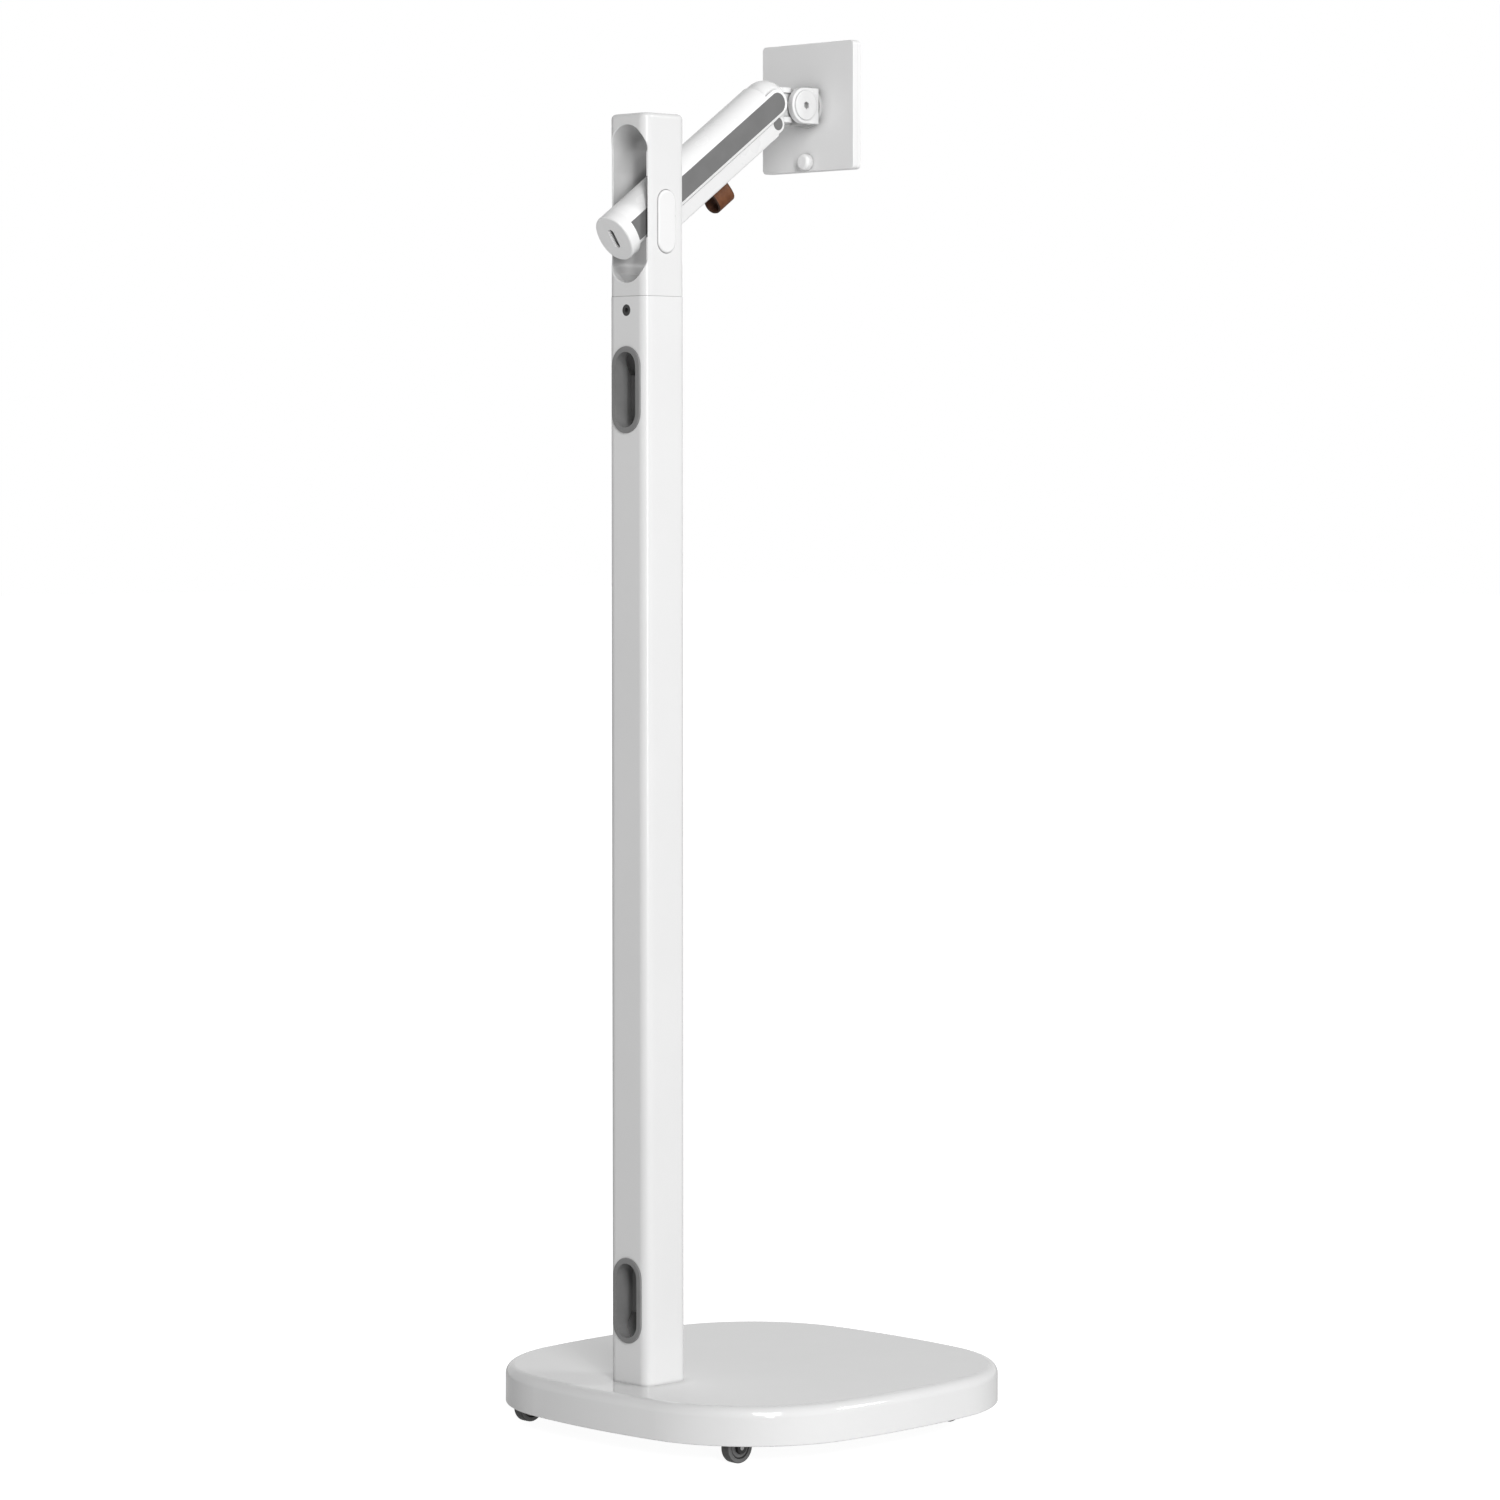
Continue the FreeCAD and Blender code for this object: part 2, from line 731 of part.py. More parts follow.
def cap_profile(y0, y1):
    """Level prism on the cap's oval: the arm's shallow arcs run on into wide side arcs."""
    rise = arm_half_height - arm_flat
    radius = (arm_half_width ** 2 + rise ** 2) / (2 * rise)
    corner_z = arm_flat - (arm_half_height - radius)
    side_radius = arm_flat * radius / corner_z
    bulge = arm_half_width - arm_half_width * side_radius / radius + side_radius
    edges = []
    for way in (1, -1):
        edges.append(arc((way * arm_half_width, y0, -way * arm_flat), (way * bulge, y0, 0),
                         (way * arm_half_width, y0, way * arm_flat)))
        edges.append(arc((way * arm_half_width, y0, way * arm_flat), (0, y0, way * arm_half_height),
                         (-way * arm_half_width, y0, way * arm_flat)))
    return prism(edges, (0, y1 - y0, 0))


def inlay_band(inset, x0, x1):
    """Side strip: square at the tail, round about the wrist pin."""
    half = arm_flat - inset
    band = box(x0, x1, -arm_length, arm_tail - inset, -half, half)
    return band.fuse(cylinder_x(half, x0, x1, -arm_length, 0))


def link_window():
    """Space that the link's pin sweeps through the arm's sides, hidden inside the head."""
    reach = math.hypot(link_lead, link_drop)
    lean = math.degrees(math.atan2(link_lead, link_drop))
    radius = link_pin_radius + link_window_margin
    shapes = []
    for elevation in (lowest_angle, (lowest_angle + highest_angle) / 2, highest_angle):
        turn = math.radians(elevation - lean)
        y, z = reach * math.sin(turn), -reach * math.cos(turn)
        shapes.append(stadium_x(radius, y, z, y, z - reach, -arm_half_width, arm_half_width))
    low, high = math.radians(lowest_angle - lean), math.radians(highest_angle - lean)
    ring = cylinder_x(reach + radius, -arm_half_width, arm_half_width, 0, 0)
    ring = ring.cut(cylinder_x(reach - radius, -arm_half_width, arm_half_width, 0, 0))
    far = 3 * reach
    sector = polygon_x([(0, 0), (far * math.sin(low), -far * math.cos(low)), (0, -2 * far),
                        (far * math.sin(high), -far * math.cos(high))],
                       -arm_half_width, arm_half_width)
    return Part.makeCompound([ring.common(sector)] + shapes)


def make_arm_shell():
    wide = 2 * arm_half_width
    front = -arm_length
    hollow = arm_profile(arm_wall, front, arm_tail)
    mouth = box(-wall_inner, wall_inner, front, arm_tail, -arm_half_height, 0)
    shell = arm_profile(0, front, arm_tail).cut([hollow, mouth])
    band = box(wall_inner, wide, front, arm_tail, -cheek_radius, cheek_radius)
    ahead = box(-wide, wide, front, front + roof_end, -wide, wide).cut(both_sides(band))
    drum = turned_drum(drum_shoulder + seat_gap, roof_gap)
    drum.translate(V(0, front, 0))
    below = box(-wide, wide, front - cheek_radius, arm_tail, -wide, -arm_rim)
    cheek = cylinder_x(cheek_radius, wall_inner, arm_half_width, front, 0)
    cheek = cheek.common(arm_profile(0, front - cheek_radius, arm_tail))
    rib = box(-anchor_rib_half_width, anchor_rib_half_width, -anchor_start - anchor_rib,
              -anchor_start, -spring_drop - anchor_rib_drop, arm_half_height - arm_wall)
    rib = rib.common(arm_profile(arm_wall / 2, front, arm_tail))
    shell = shell.cut([ahead, drum, below]).fuse([cheek, mirrored(cheek), rib])
    pocket = inlay_band(0, inlay_face, wide)
    return shell.cut([
        pocket, mirrored(pocket), link_window(),
        cylinder_x(bush_radius + snug_gap / 2, -wide, wide, 0, 0),
        cylinder_x(wrist_pin_radius + fit_gap, -wide, wide, front, 0),
        cylinder_y(cylinder_stud_radius + snug_gap, -anchor_start - anchor_rib, -anchor_start,
                   0, -spring_drop),
    ])


def make_inlay(side):
    strip = inlay_band(snug_gap, inlay_face + snug_gap / 2, arm_half_width)
    strip = strip.cut([cylinder_x(bush_flange_radius + snug_gap, 0, 2 * arm_half_width, 0, 0),
                       link_window()])
    return strip if side > 0 else mirrored(strip)


def make_rear_cap():
    """Oval end cap, with a plug inside the housing and an upright slot for the key."""
    end = arm_tail + cap_length
    cap = cap_profile(arm_tail, end)
    cap = cap.makeFillet(cap_edge_radius, edges_at(cap, lambda p: p.y > end - near))
    plug = arm_profile(arm_wall + snug_gap, arm_tail - cap_plug, arm_tail)
    plug = plug.cut(box(-arm_half_width, arm_half_width, 0, arm_tail,
                        -arm_half_height, -arm_rim + snug_gap))
    cap = cap.fuse(plug)
    hollow = arm_profile(2 * arm_wall, arm_tail - cap_plug, end - cap_wall)
    half = cap_slot_height / 2
    return cap.cut([hollow, stadium_y(cap_slot_width / 2, -half, half, end - cap_wall, end)])


def make_pivot_bushes():
    outer = slot_half_width - seat_gap
    bush = cylinder_x(bush_radius, wall_inner, arm_half_width, 0, 0)
    bush = bush.fuse(cylinder_x(bush_flange_radius, arm_half_width, outer, 0, 0))
    collar = cylinder_x(bush_flange_radius, inlay_face + snug_gap / 2, arm_half_width, 0, 0)
    return both_sides(bush.fuse(collar).cut(
        cylinder_x(pivot_pin_radius + fit_gap, 0, column_width, 0, 0)))


def make_wrist_pin():
    reach = inlay_face - snug_gap
    return cylinder_x(wrist_pin_radius, -reach, reach, -arm_length, 0)


def make_gas_cylinder():
    start, end = -cylinder_start, -cylinder_start - cylinder_length
    z = -spring_drop
    tube = cylinder_y(cylinder_radius, end, start, 0, z)
    rims = edges_at(tube, lambda p: abs(p.y - start) < near or abs(p.y - end) < near)
    tube = tube.makeFillet(cylinder_edge_radius, rims)
    stud_end = -anchor_start - anchor_rib - cylinder_nut_height
    stud = cylinder_y(cylinder_stud_radius, stud_end, end, 0, z)
    collar = cylinder_y(cylinder_collar_radius, -anchor_start + snug_gap, end, 0, z)
    bore = cylinder_y(cylinder_bore, end + cylinder_end, start - cylinder_gland, 0, z)
    gland = cylinder_y(rod_radius + fit_gap, start - cylinder_gland, start, 0, z)
    return tube.fuse([stud, collar]).cut([bore, gland])


def make_cylinder_nut():
    seat = -anchor_start - anchor_rib
    nut = hexagon_prism(cylinder_nut_width, (0, seat, -spring_drop), (0, -1, 0),
                        cylinder_nut_height)
    return nut.cut(cylinder_y(cylinder_stud_radius + fit_gap, seat - cylinder_nut_height, seat,
                              0, -spring_drop))


def make_gas_rod():
    """Rod with a flat foot that pushes on the tension nut, and a piston in the cylinder."""
    face = nut_drop * math.sin(angle) - nut_radius - foot_gap
    z = -spring_drop
    foot = box(-foot_half_width, foot_half_width, face - foot_length, face,
               z - foot_height / 2, z + foot_height / 2)
    shaft_start = face - foot_length
    shaft = cylinder_y(rod_radius, shaft_start - rod_length, shaft_start, 0, z)
    piston = cylinder_y(cylinder_bore - fit_gap, shaft_start - rod_length,
                        shaft_start - rod_length + piston_length, 0, z)
    return foot.fuse([shaft, piston])


def make_link_channel():
    half = link_half_width
    bar = box(-half, half, -arm_length, 0, -link_end_radius, link_wall_rise)
    bar = bar.fuse([cylinder_x(link_end_radius, -half, half, y, 0) for y in (0, -arm_length)])
    reach = arm_length + 2 * link_end_radius
    hollow = box(-link_inner, link_inner, -reach, reach, link_wall - link_end_radius,
                 2 * link_end_radius)
    rear = box(-link_inner, link_inner, -link_floor_start, reach, -reach, reach)
    front = box(-link_inner, link_inner, -reach, -arm_length + link_floor_margin, -reach, reach)
    cap = cylinder_x(link_cap_radius, link_half_width - link_cap_depth, link_half_width,
                     -arm_length, 0)
    wide = 2 * link_half_width
    return bar.cut([
        hollow, rear, front, cap, mirrored(cap),
        cylinder_x(link_pin_radius + fit_gap, -wide, wide, 0, 0),
        cylinder_x(link_front_pin_radius + fit_gap, -wide, wide, -arm_length, 0),
    ])


def make_link_caps():
    return both_sides(cylinder_x(link_cap_radius - snug_gap, link_half_width - link_cap_depth
                                 + snug_gap / 2, link_half_width, -arm_length, 0))


def make_link_front_pin():
    reach = link_half_width - link_cap_depth - snug_gap
    return cylinder_x(link_front_pin_radius, -reach, reach, -arm_length, 0)


def make_cable_cover():
    front = -arm_length + cover_end_margin
    body = box(-cover_half_width, cover_half_width, front, -cover_start, -cover_drop, cover_rise)
    low = edges_at(body, lambda p: p.z < -cover_drop + near and abs(p.x) > cover_half_width - near)
    body = body.makeFillet(cover_corner, low)
    nose = edges_at(body, lambda p: p.z < -cover_drop + near and p.y < front + near)
    body = body.makeChamfer(cover_floor - snug_gap, nose)
    inner = cover_half_width - cover_side
    hollow = box(-inner, inner, front, -cover_start, -cover_drop + cover_floor, cover_rise)
    ring = cylinder_x(link_end_radius + seat_gap, -cover_half_width, cover_half_width,
                      -arm_length, 0)
    middle = -strap_start - strap_width / 2
    stud = cylinder_z(strap_stud_stem_radius, -cover_drop, 0, 0, middle)
    return body.cut([hollow, ring, stud])


def strap_outline(inset, top, y0, y1):
    """Loop shape across the arm: sides that swell downwards into a round bottom."""
    half, narrow = strap_half_width - inset, strap_top_half_width - inset
    corner = strap_bottom_radius - inset
    low, high = top - strap_depth + inset, top - inset
    shoulder, flat = low + corner, half - corner
    rise = high - shoulder
    bow = (rise ** 2 + (half - narrow) ** 2) / (2 * (half - narrow))
    turn = math.asin(rise / bow) / 2
    side = (half - bow + bow * math.cos(turn), shoulder + bow * math.sin(turn))
    slant = corner * math.sqrt(0.5)
    edges = [
        line((-narrow, y0, high), (narrow, y0, high)),
        arc((narrow, y0, high), (side[0], y0, side[1]), (half, y0, shoulder)),
        arc((half, y0, shoulder), (flat + slant, y0, shoulder - slant), (flat, y0, low)),
        line((flat, y0, low), (-flat, y0, low)),
        arc((-flat, y0, low), (-flat - slant, y0, shoulder - slant), (-half, y0, shoulder)),
        arc((-half, y0, shoulder), (-side[0], y0, side[1]), (-narrow, y0, high)),
    ]
    return prism(edges, (0, y1 - y0, 0))


def make_cable_strap():
    top = -cover_drop - snug_gap
    y0, y1 = -strap_start - strap_width, -strap_start
    loop = strap_outline(0, top, y0, y1).cut(strap_outline(strap_thickness, top, y0, y1))
    middle = (y0 + y1) / 2
    return loop.cut(cylinder_z(strap_stud_stem_radius + snug_gap, top - strap_thickness, top,
                               0, middle))


def make_strap_stud():
    """Snap stud through the strap and the cable cover."""
    middle = -strap_start - strap_width / 2
    low = -cover_drop - snug_gap - strap_thickness - snug_gap / 2
    high = -cover_drop + cover_floor
    stem = cylinder_z(strap_stud_stem_radius - fit_gap, low, high, 0, middle)
    head = cylinder_z(strap_stud_radius, low - strap_stud_head, low, 0, middle)
    return stem.fuse(head)


def turned_drum(reach, margin):
    """Crowned wheel about X: a barrel section turned round the origin."""
    radius, crown = drum_radius + margin, drum_crown_radius + margin
    edge = radius - crown + math.sqrt(crown ** 2 - reach ** 2)
    edges = [
        line((-reach, 0, 0), (reach, 0, 0)),
        line((reach, 0, 0), (reach, 0, edge)),
        arc((reach, 0, edge), (0, 0, radius), (-reach, 0, edge)),
        line((-reach, 0, edge), (-reach, 0, 0)),
    ]
    return Part.Face(Part.Wire(edges)).revolve(V(0, 0, 0), V(1, 0, 0), 360)


def above_link(elevation, drop):
    """Space above a plane that lies along the arm at an elevation, a drop below its axis."""
    far = 3 * drum_radius
    space = box(-far, far, -far, far, -drop, far)
    space.rotate(V(0, 0, 0), V(1, 0, 0), -elevation)
    return space


def make_wrist_drum():
    """Level body between the arm and the head, drawn about the wrist pin."""
    far = 2 * drum_radius
    under = box(-far, far, -far, far, -far, -drum_floor)
    core = turned_drum(drum_half_width, 0).cut(under)
    shoulders = turned_drum(drum_shoulder, 0).common(above_link(lowest_angle, drum_hub_radius))
    shoulders = shoulders.common(above_link(highest_angle, drum_hub_radius))
    side_room = swivel_radius + 2 * seat_gap
    shoulders = shoulders.cut(both_sides(box(side_room, far, -far, -drum_nose, -far, far)))
    hub = cylinder_x(drum_hub_radius, -drum_hub_half_width, drum_hub_half_width, 0, 0)
    lug = stadium_x(drum_lug_radius, -link_lead, -link_drop, 0, 0,
                    -drum_half_width, drum_half_width)
    inner = swivel_half_height - swivel_lug
    ears = []
    for low, high in ((-swivel_half_height, -inner), (inner, swivel_half_height)):
        ears.append(cylinder_z(swivel_ear_radius, low, high, 0, -swivel_reach))
        ears.append(box(-swivel_radius, swivel_radius, -swivel_reach, 0, low, high))
    drum = core.fuse([shoulders, hub, lug] + ears)
    drum = drum.cut([
        cylinder_z(side_room, -inner, inner, 0, -swivel_reach),
        box(-far, far, -far, -swivel_reach, -inner, inner),
        cylinder_x(wrist_pin_radius + fit_gap, -far, far, 0, 0),
        cylinder_x(link_front_pin_radius + open_pivot_gap, -far, far, -link_lead, -link_drop),
        cylinder_z(swivel_pin_radius + fit_gap, -far, far, 0, -swivel_reach),
    ])
    drum.translate(V(0, wrist_y, wrist_z))
    return drum


def make_swivel_pin():
    reach = swivel_half_height - snug_gap
    return cylinder_z(swivel_pin_radius, wrist_z - reach, wrist_z + reach, 0, swivel_y)


def make_swivel_knuckle():
    half = swivel_half_height - swivel_lug - seat_gap
    barrel = cylinder_z(swivel_radius, wrist_z - half, wrist_z + half, 0, swivel_y)
    tongue = box(-knuckle_half_width, knuckle_half_width, tilt_y, swivel_y,
                 wrist_z - half, wrist_z + half)
    knuckle = cylinder_x(knuckle_radius, -knuckle_half_width, knuckle_half_width, tilt_y, wrist_z)
    band = box(-knuckle_half_width, knuckle_half_width, tilt_y - knuckle_radius,
               tilt_y + knuckle_radius, wrist_z - half, wrist_z + half)
    body = barrel.fuse([tongue, knuckle.common(band)])
    return body.cut([
        cylinder_z(swivel_pin_radius + fit_gap, wrist_z - half, wrist_z + half, 0, swivel_y),
        cylinder_x(tilt_screw_radius + fit_gap, -knuckle_half_width, knuckle_half_width,
                   tilt_y, wrist_z),
    ])


def make_friction_washers():
    washer = cylinder_x(friction_washer_radius, knuckle_half_width + snug_gap / 2,
                        clevis_inner - seat_gap, tilt_y, wrist_z)
    bore = cylinder_x(tilt_screw_radius + fit_gap, 0, clevis_inner, tilt_y, wrist_z)
    return both_sides(washer.cut(bore))


def make_tilt_clevis():
    body = cylinder_x(clevis_half_height, -clevis_outer, clevis_outer, tilt_y, wrist_z)
    block = box(-clevis_outer, clevis_outer, clevis_face, tilt_y,
                wrist_z - clevis_half_height, wrist_z + clevis_half_height)
    body = body.fuse(block).removeSplitter()
    rims = edges_at(body, lambda p: abs(abs(p.x) - clevis_outer) < near)
    body = body.makeFillet(clevis_edge, rims)
    web = clevis_face + clevis_web
    gap = box(-clevis_inner, clevis_inner, web, tilt_y + 2 * clevis_half_height,
              wrist_z - 2 * clevis_half_height, wrist_z + 2 * clevis_half_height)
    return body.cut([
        gap,
        cylinder_x(tilt_screw_radius + snug_gap, -clevis_outer, clevis_outer, tilt_y, wrist_z),
        cylinder_x(tilt_nut_boss_radius + snug_gap, clevis_inner, clevis_outer, tilt_y, wrist_z),
        cylinder_y(rotation_screw_radius + fit_gap, clevis_face, web, 0, wrist_z),
        cylinder_y(rotation_head_radius + seat_gap, web - rotation_head - 2 * seat_gap, web,
                   0, wrist_z),
    ])


def make_tilt_screw():
    """Clamp screw across the head, with a wide disc for its head."""
    seat = -clevis_outer - snug_gap / 2
    screw = cylinder_x(tilt_screw_radius, seat, clevis_outer - snug_gap, tilt_y, wrist_z)
    disc = cylinder_x(tilt_disc_radius, seat - tilt_disc, seat, tilt_y, wrist_z)
    disc = disc.makeFillet(tilt_disc / 2, edges_at(disc, lambda p: p.x < seat - tilt_disc + near))
    key = hexagon_prism(tilt_key, (seat - tilt_disc, tilt_y, wrist_z), (1, 0, 0), tilt_key_depth)
    return screw.fuse(disc).cut(key)


def make_tilt_nut():
    seat = clevis_outer + snug_gap / 2
    disc = cylinder_x(tilt_disc_radius, seat, seat + tilt_disc, tilt_y, wrist_z)
    disc = disc.makeFillet(tilt_disc / 2, edges_at(disc, lambda p: p.x > seat + tilt_disc - near))
    boss = cylinder_x(tilt_nut_boss_radius, clevis_inner + snug_gap, seat, tilt_y, wrist_z)
    return disc.fuse(boss).cut(cylinder_x(tilt_screw_radius + fit_gap, 0, clevis_outer,
                                          tilt_y, wrist_z))


def flange_screw_places():
    places = []
    for k in range(flange_screw_count):
        turn = math.pi / 4 + 2 * math.pi * k / flange_screw_count
        places.append((flange_screw_spread * math.cos(turn),
                       wrist_z + flange_screw_spread * math.sin(turn)))
    return places


def make_rotation_flange():
    disc = cylinder_y(flange_radius, plate_back + snug_gap / 2, flange_back, 0, wrist_z)
    holes = [cylinder_y(flange_screw_radius + snug_gap, plate_back, flange_back, x, z)
             for x, z in flange_screw_places()]
    holes.append(cylinder_y(rotation_screw_radius + snug_gap, plate_back, flange_back, 0, wrist_z))
    return disc.cut(holes)


def make_rotation_screw():
    """Pivot of the turning plate: a flat head sunk in the web, a shank down to the plate."""
    under_head = clevis_face + clevis_web - rotation_head - seat_gap
    screw = cylinder_y(rotation_screw_radius, plate_joint + snug_gap, under_head, 0, wrist_z)
    head = cylinder_y(rotation_head_radius, under_head, under_head + rotation_head, 0, wrist_z)
    key = hexagon_prism(tilt_key, (0, under_head + rotation_head, wrist_z), (0, -1, 0),
                        rotation_head)
    return screw.fuse(head).cut(key)


def square_plate(y0, y1):
    half = plate_width / 2
    plate = box(-half, half, y0, y1, wrist_z - half, wrist_z + half)
    corners = edges_at(plate, lambda p: abs(abs(p.x) - half) < near
                       and abs(abs(p.z - wrist_z) - half) < near)
    return plate.makeFillet(plate_corner, corners)


def stud_places():
    return [(x * stud_spacing_x / 2, wrist_z + z * stud_spacing_z / 2)
            for x in (-1, 1) for z in (-1, 1)]


def make_mounting_plate():
    plate = square_plate(plate_joint, plate_back)
    plate = plate.makeFillet(plate_edge, edges_at(plate, lambda p: p.y > plate_back - near))
    holes = [cylinder_y(flange_screw_radius, plate_joint, plate_back, x, z)
             for x, z in flange_screw_places()]
    holes += [cylinder_y(stud_radius + fit_gap, plate_joint, plate_back - stud_skin, x, z)
              for x, z in stud_places()]
    holes.append(cylinder_y(rotation_screw_radius + snug_gap, plate_joint, plate_back, 0, wrist_z))
    holes.append(cylinder_y(knob_stem_radius + 2 * fit_gap, plate_joint, plate_back,
                            0, knob_z))
    return plate.cut(holes)


def make_flange_screws():
    screws = []
    for x, z in flange_screw_places():
        screw = cylinder_y(flange_screw_radius - fit_gap, plate_joint + snug_gap,
                           flange_back - snug_gap, x, z)
        screws.append(screw)
    return Part.makeCompound(screws)


def make_keyhole_studs():
    studs = []
    for x, z in stud_places():
        stem = cylinder_y(stud_radius, vesa_front + stud_head, plate_back - stud_skin, x, z)
        head = cylinder_y(stud_head_radius, vesa_front + snug_gap, vesa_front + stud_head, x, z)
        studs.append(stem.fuse(head))
    return Part.makeCompound(studs)


def keyhole_cut(x, z):
    """Slot that hangs on a stud: a wide entry below, a narrow seat above, a sunk face."""
    entry_z = z - keyhole_lift
    y0, y1 = vesa_front, vesa_back
    seat = cylinder_y(stud_radius + snug_gap, y0, y1, x, z)
    neck = box(x - stud_radius - snug_gap, x + stud_radius + snug_gap, y0, y1, entry_z, z)
    entry = cylinder_y(keyhole_entry_radius, y0, y1, x, entry_z)
    floor = vesa_front + stud_head + snug_gap
    sunk_seat = cylinder_y(keyhole_entry_radius, y0, floor, x, z)
    sunk_neck = box(x - keyhole_entry_radius, x + keyhole_entry_radius, y0, floor, entry_z, z)
    return seat.fuse([neck, entry, sunk_seat, sunk_neck])


def make_vesa_plate():
    plate = square_plate(vesa_front, vesa_back)
    plate = plate.makeFillet(plate_edge, edges_at(plate, lambda p: p.y < vesa_front + near))
    cuts = [keyhole_cut(x, z) for x, z in stud_places()]
    for spacing in (vesa_large, vesa_small):
        for x in (-spacing / 2, spacing / 2):
            for z in (-spacing / 2, spacing / 2):
                cuts.append(cylinder_y(vesa_hole_radius, vesa_front, vesa_back, x, wrist_z + z))
    cuts.append(cylinder_y(knob_tip_radius + seat_gap / 2, vesa_back - knob_tip_depth - seat_gap,
                           vesa_back, 0, knob_z))
    return plate.cut(cuts)


def make_release_knob():
    """Spring knob whose tip locks the hanging plate; it is pulled back to let go."""
    start = plate_back + seat_gap
    knob = cylinder_y(knob_radius, start, start + knob_length, 0, knob_z)
    knob = knob.makeFillet(knob_edge_radius,
                           edges_at(knob, lambda p: p.y > start + knob_length - near))
    stem = cylinder_y(knob_stem_radius, plate_joint, start, 0, knob_z)
    tip = cylinder_y(knob_tip_radius, vesa_back - knob_tip_depth, plate_joint, 0, knob_z)
    return knob.fuse([stem, tip])


def place_caster(shape, corner):
    """Set a caster drawn with its stem on the origin and its wheel behind it."""
    x, y = caster_places()[corner]
    placed = shape.copy()
    placed.rotate(V(0, 0, 0), V(0, 0, 1), caster_angles[corner])
    placed.translate(V(x, y, 0))
    return placed


def make_caster_fork():
    inner = wheel_width / 2 + seat_gap
    outer = inner + fork_leg
    crown_top = weight_bottom - socket_flange - seat_gap
    crown_low = crown_top - fork_crown
    crown = cylinder_z(fork_crown_radius, crown_low, crown_top, 0, 0)
    roof_end = caster_trail + fork_leg_radius
    roof = box(-outer, outer, 0, roof_end, crown_low, crown_top)
    leg = polygon_x([(-fork_leg_root, crown_top), (roof_end, crown_top),
                     (roof_end, wheel_radius),
                     (caster_trail - fork_leg_radius, wheel_radius)], inner, outer)
    leg = leg.fuse(cylinder_x(fork_leg_radius, inner, outer, caster_trail, wheel_radius))
    stem = cylinder_z(stem_radius, crown_top, crown_top + socket_flange + stem_length, 0, 0)
    fork = crown.fuse([roof, leg, mirrored(leg), stem])
    wheel_space = cylinder_x(wheel_radius + 2 * seat_gap, -inner, inner, caster_trail, wheel_radius)
    return fork.cut([
        wheel_space,
        cylinder_x(axle_radius + fit_gap, -outer, outer, caster_trail, wheel_radius),
    ])


def make_caster_axle():
    outer = wheel_width / 2 + seat_gap + fork_leg
    return cylinder_x(axle_radius, -outer, outer, caster_trail, wheel_radius)


def make_caster_wheel():
    half = wheel_width / 2
    wheel = cylinder_x(wheel_radius, -half, half, caster_trail, wheel_radius)
    rims = edges_at(wheel, lambda p: abs(abs(p.x) - half) < near)
    wheel = wheel.makeFillet(wheel_edge_radius, rims)
    recess = cylinder_x(wheel_hub_radius, half - wheel_hub_recess, half, caster_trail, wheel_radius)
    hub = cylinder_x(wheel_boss_radius, half - wheel_hub_recess, half, caster_trail, wheel_radius)
    recess = recess.cut(hub)
    return wheel.cut([
        recess, mirrored(recess),
        cylinder_x(axle_radius + fit_gap, -half, half, caster_trail, wheel_radius),
    ])


def make_caster_sockets():
    """Stem sleeves pressed up into the weight, each with a thrust flange below it."""
    sockets = []
    for x, y in caster_places().values():
        sleeve = cylinder_z(stem_cap_radius, weight_bottom, cover_ceiling - snug_gap, x, y)
        flange = cylinder_z(fork_crown_radius, weight_bottom - socket_flange, weight_bottom, x, y)
        bore = cylinder_z(stem_radius + fit_gap, weight_bottom - socket_flange,
                          weight_bottom + stem_length + 2 * snug_gap, x, y)
        sockets.append(sleeve.fuse(flange).cut(bore))
    return Part.makeCompound(sockets)


